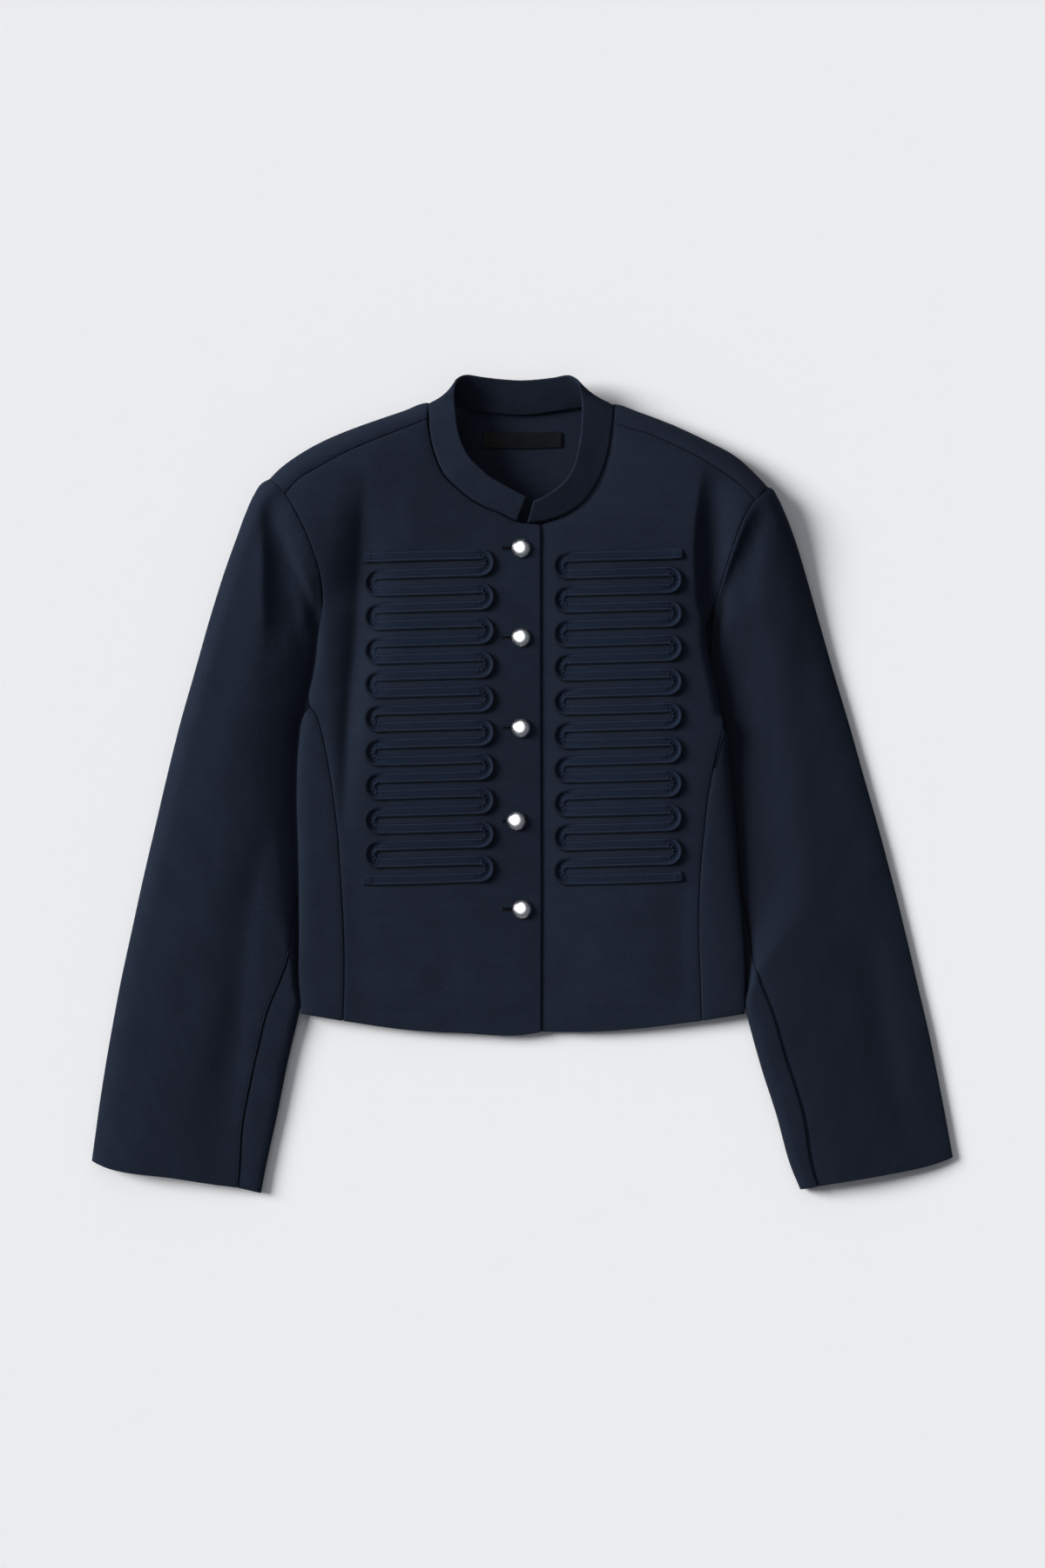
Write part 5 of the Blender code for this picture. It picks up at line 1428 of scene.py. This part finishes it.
def turnedMesh(profile, x, y, z, sides=64):
    points = []
    faces = []
    for radius, height in profile:
        for k in range(sides):
            angle = 2 * math.pi * k / sides
            points.append((x + radius * math.cos(angle), y + radius * math.sin(angle), z + height))
    for ring in range(len(profile) - 1):
        for k in range(sides):
            a = ring * sides + k
            b = ring * sides + (k + 1) % sides
            faces.append((a, b, b + sides, a + sides))
    return points, faces


def makeButton(number, x, y):
    dx, dy = np.meshgrid((-7, 0, 7), (-7, 0, 7))
    rest = heightsOn(overRight, x + dx, y + dy).max() + buttons["clear"]
    seat = heightOn(overLeft, x, y) + 0.25
    dome = smoothLine([(share * buttons["radius"], height) for share, height in buttons["profile"]])
    profile = [tuple(row) for row in dome(np.linspace(0, 1, 46))]
    profile[0] = (0.02, profile[0][1])
    profile[-1] = (0.02, profile[-1][1])
    points, faces = turnedMesh(profile, x, y, rest)
    shank = buttons["shank"]
    foot = seat - rest
    neck = [(0.02, 0.3), (shank, 0.3), (shank * 0.8, -0.5), (shank * 0.8, -1.2), (shank, foot + 0.4),
            (shank * 0.9, foot), (0.02, foot)]
    shankPoints, shankFaces = turnedMesh(neck[::-1], x, y, rest, 24)
    start = len(points)
    faces += [tuple(start + k for k in face) for face in shankFaces]
    piece = meshPiece("button%d" % number, points + shankPoints, faces, None, silver)
    jacketPiece(piece, ["button_%d" % number])


def buttonholeStitches():
    # close stitches round each slit, and a bar across its end
    centres = []
    ahead = []
    for bx, by in buttonPlaces:
        for x in np.arange(buttonholes["endX"] + 0.4, bx - 2.0, buttonholes["stitchPitch"]):
            for side in (-1.0, 1.0):
                centres.append((x, by + side * buttonholes["stitchRow"], 0.0))
                ahead.append((0.0, side, 0.0))
        for y in np.linspace(*buttonholes["barY"]):
            centres.append((buttonholes["barX"], by + y, 0.0))
            ahead.append((1.0, 0.0, 0.0))
    centres = np.array(centres)
    centres[:, 2] = heightsOn(overRight, centres[:, 0], centres[:, 1]) + buttonholes["above"]
    return stitchMesh("buttonholeStitches", centres, np.array(ahead), straightUp(centres),
                      *buttonholes["stitch"], thread)


for number, (x, y) in enumerate(buttonPlaces, 1):
    makeButton(number, x, y)
jacketPiece(buttonholeStitches(), [])

label = {
    "x": (-33.8, 33.7),
    "y": (289.8, 302.6),
    "wall": 0.6,
    "low": 2.0,             # height of its underside
    "sag": 1.0,
    "ripple": 0.12,
    "fold": (0.25, 3.0, 3.8),   # its turned-in ends: extra height, and where that ends, from each end
    "seamFromEnd": 1.9,
    "stitch": (1.5, 0.2),   # length and thickness
    "stitchY": (290.9, 301.9, 2.1),
}


def makeLabel():
    left, right = label["x"]
    low, high = label["y"]
    face = label["low"] + label["wall"]
    u, v = np.meshgrid(sharesAlong(right - left, 1.8, (0.8, 1.6), (0.8, 1.6)),
                       sharesAlong(high - low, 1.4, (0.8,), (0.8,)))
    x = left + (right - left) * u
    y = low + (high - low) * v - label["sag"] * np.sin(np.pi * u) * (1.0 - 0.6 * v)
    rise = label["ripple"] * np.sin(u * 21.0) * np.sin(np.pi * v)
    extra, start, end = label["fold"]
    folded = extra * (1 - easeBetween((right - left) * np.minimum(u, 1 - u), start, end))
    grid = np.dstack((x, y, face + rise + folded))
    piece = gridShell("neckLabel", grid, grid[..., :2].reshape(-1, 2), labelWeave, wall=label["wall"])
    columns = (left + label["seamFromEnd"], right - label["seamFromEnd"])
    centres = np.array([(column, y, face + 0.38) for column in columns for y in np.arange(*label["stitchY"])])
    ahead = np.tile((0.0, 1.0, 0.0), (len(centres), 1))
    sewing = stitchMesh("labelStitches", centres, ahead, straightUp(centres), *label["stitch"], blackThread)
    jacketPiece(sewing, [])
    jacketPiece(piece, ["label"])


makeLabel()
print("buttons and label made")


# Floor, light and camera

studio = {
    "floor": "#EAEAEB",
    # sun-like lamps: strength, softness in degrees, and where each shines from
    "key": (5.2, 27, (-1, 0.32, 0.55)),
    "top": (0.35, 50, (-0.1, 1, 0.8)),
    # a large softbox that only the metal mirrors
    "box": {"energy": 200, "size": 7.6, "place": (-1.1, 0.7, 3)},
    "world": ("#E6ECF6", 0.215),
    "lens": 150.0,
    "height": 5.625,
}


def makeFloor():
    bpy.ops.mesh.primitive_plane_add(size=14.0)
    floor = bpy.context.active_object
    floor.name = "floor"
    made, tree = newMaterial("mattPaper")
    shader = addNode(tree, "BsdfPrincipled",
                     {"Base Color": fromHex(studio["floor"]), "Roughness": 0.95, "Specular IOR Level": 0.1})
    addNode(tree, "OutputMaterial", links={"Surface": shader.outputs[0]})
    floor.data.materials.append(made)
    floor.location.z = -0.0003


def aimedLamp(name, data, place):
    lamp = bpy.data.objects.new(name, data)
    lamp.location = place
    lamp.rotation_euler = (-Vector(place)).to_track_quat("-Z", "Y").to_euler()
    bpy.context.scene.collection.objects.link(lamp)
    return lamp


def makeLights():
    for name in ("key", "top"):
        strength, softness, place = studio[name]
        sun = bpy.data.lights.new(name + "Light", "SUN")
        sun.energy = strength
        sun.angle = math.radians(softness)
        aimedLamp(name + "Light", sun, place)
    box = bpy.data.lights.new("softbox", "AREA")
    box.shape = "DISK"
    box.energy = studio["box"]["energy"]
    box.size = studio["box"]["size"]
    lamp = aimedLamp("softbox", box, studio["box"]["place"])
    lamp.visible_diffuse = False


def makeWorld():
    world = bpy.data.worlds.new("studioAir")
    world.use_nodes = True
    background = world.node_tree.nodes["Background"]
    background.inputs["Color"].default_value = fromHex(studio["world"][0])
    background.inputs["Strength"].default_value = studio["world"][1]
    bpy.context.scene.world = world
    bpy.context.scene.view_settings.view_transform = "Standard"


def makeCamera():
    data = bpy.data.cameras.new("photoCamera")
    data.lens = studio["lens"]
    camera = bpy.data.objects.new("photoCamera", data)
    camera.location = (0.0, 0.0, studio["height"])
    bpy.context.scene.collection.objects.link(camera)
    bpy.context.scene.camera = camera


makeFloor()
makeLights()
makeWorld()
makeCamera()
print("studio made")
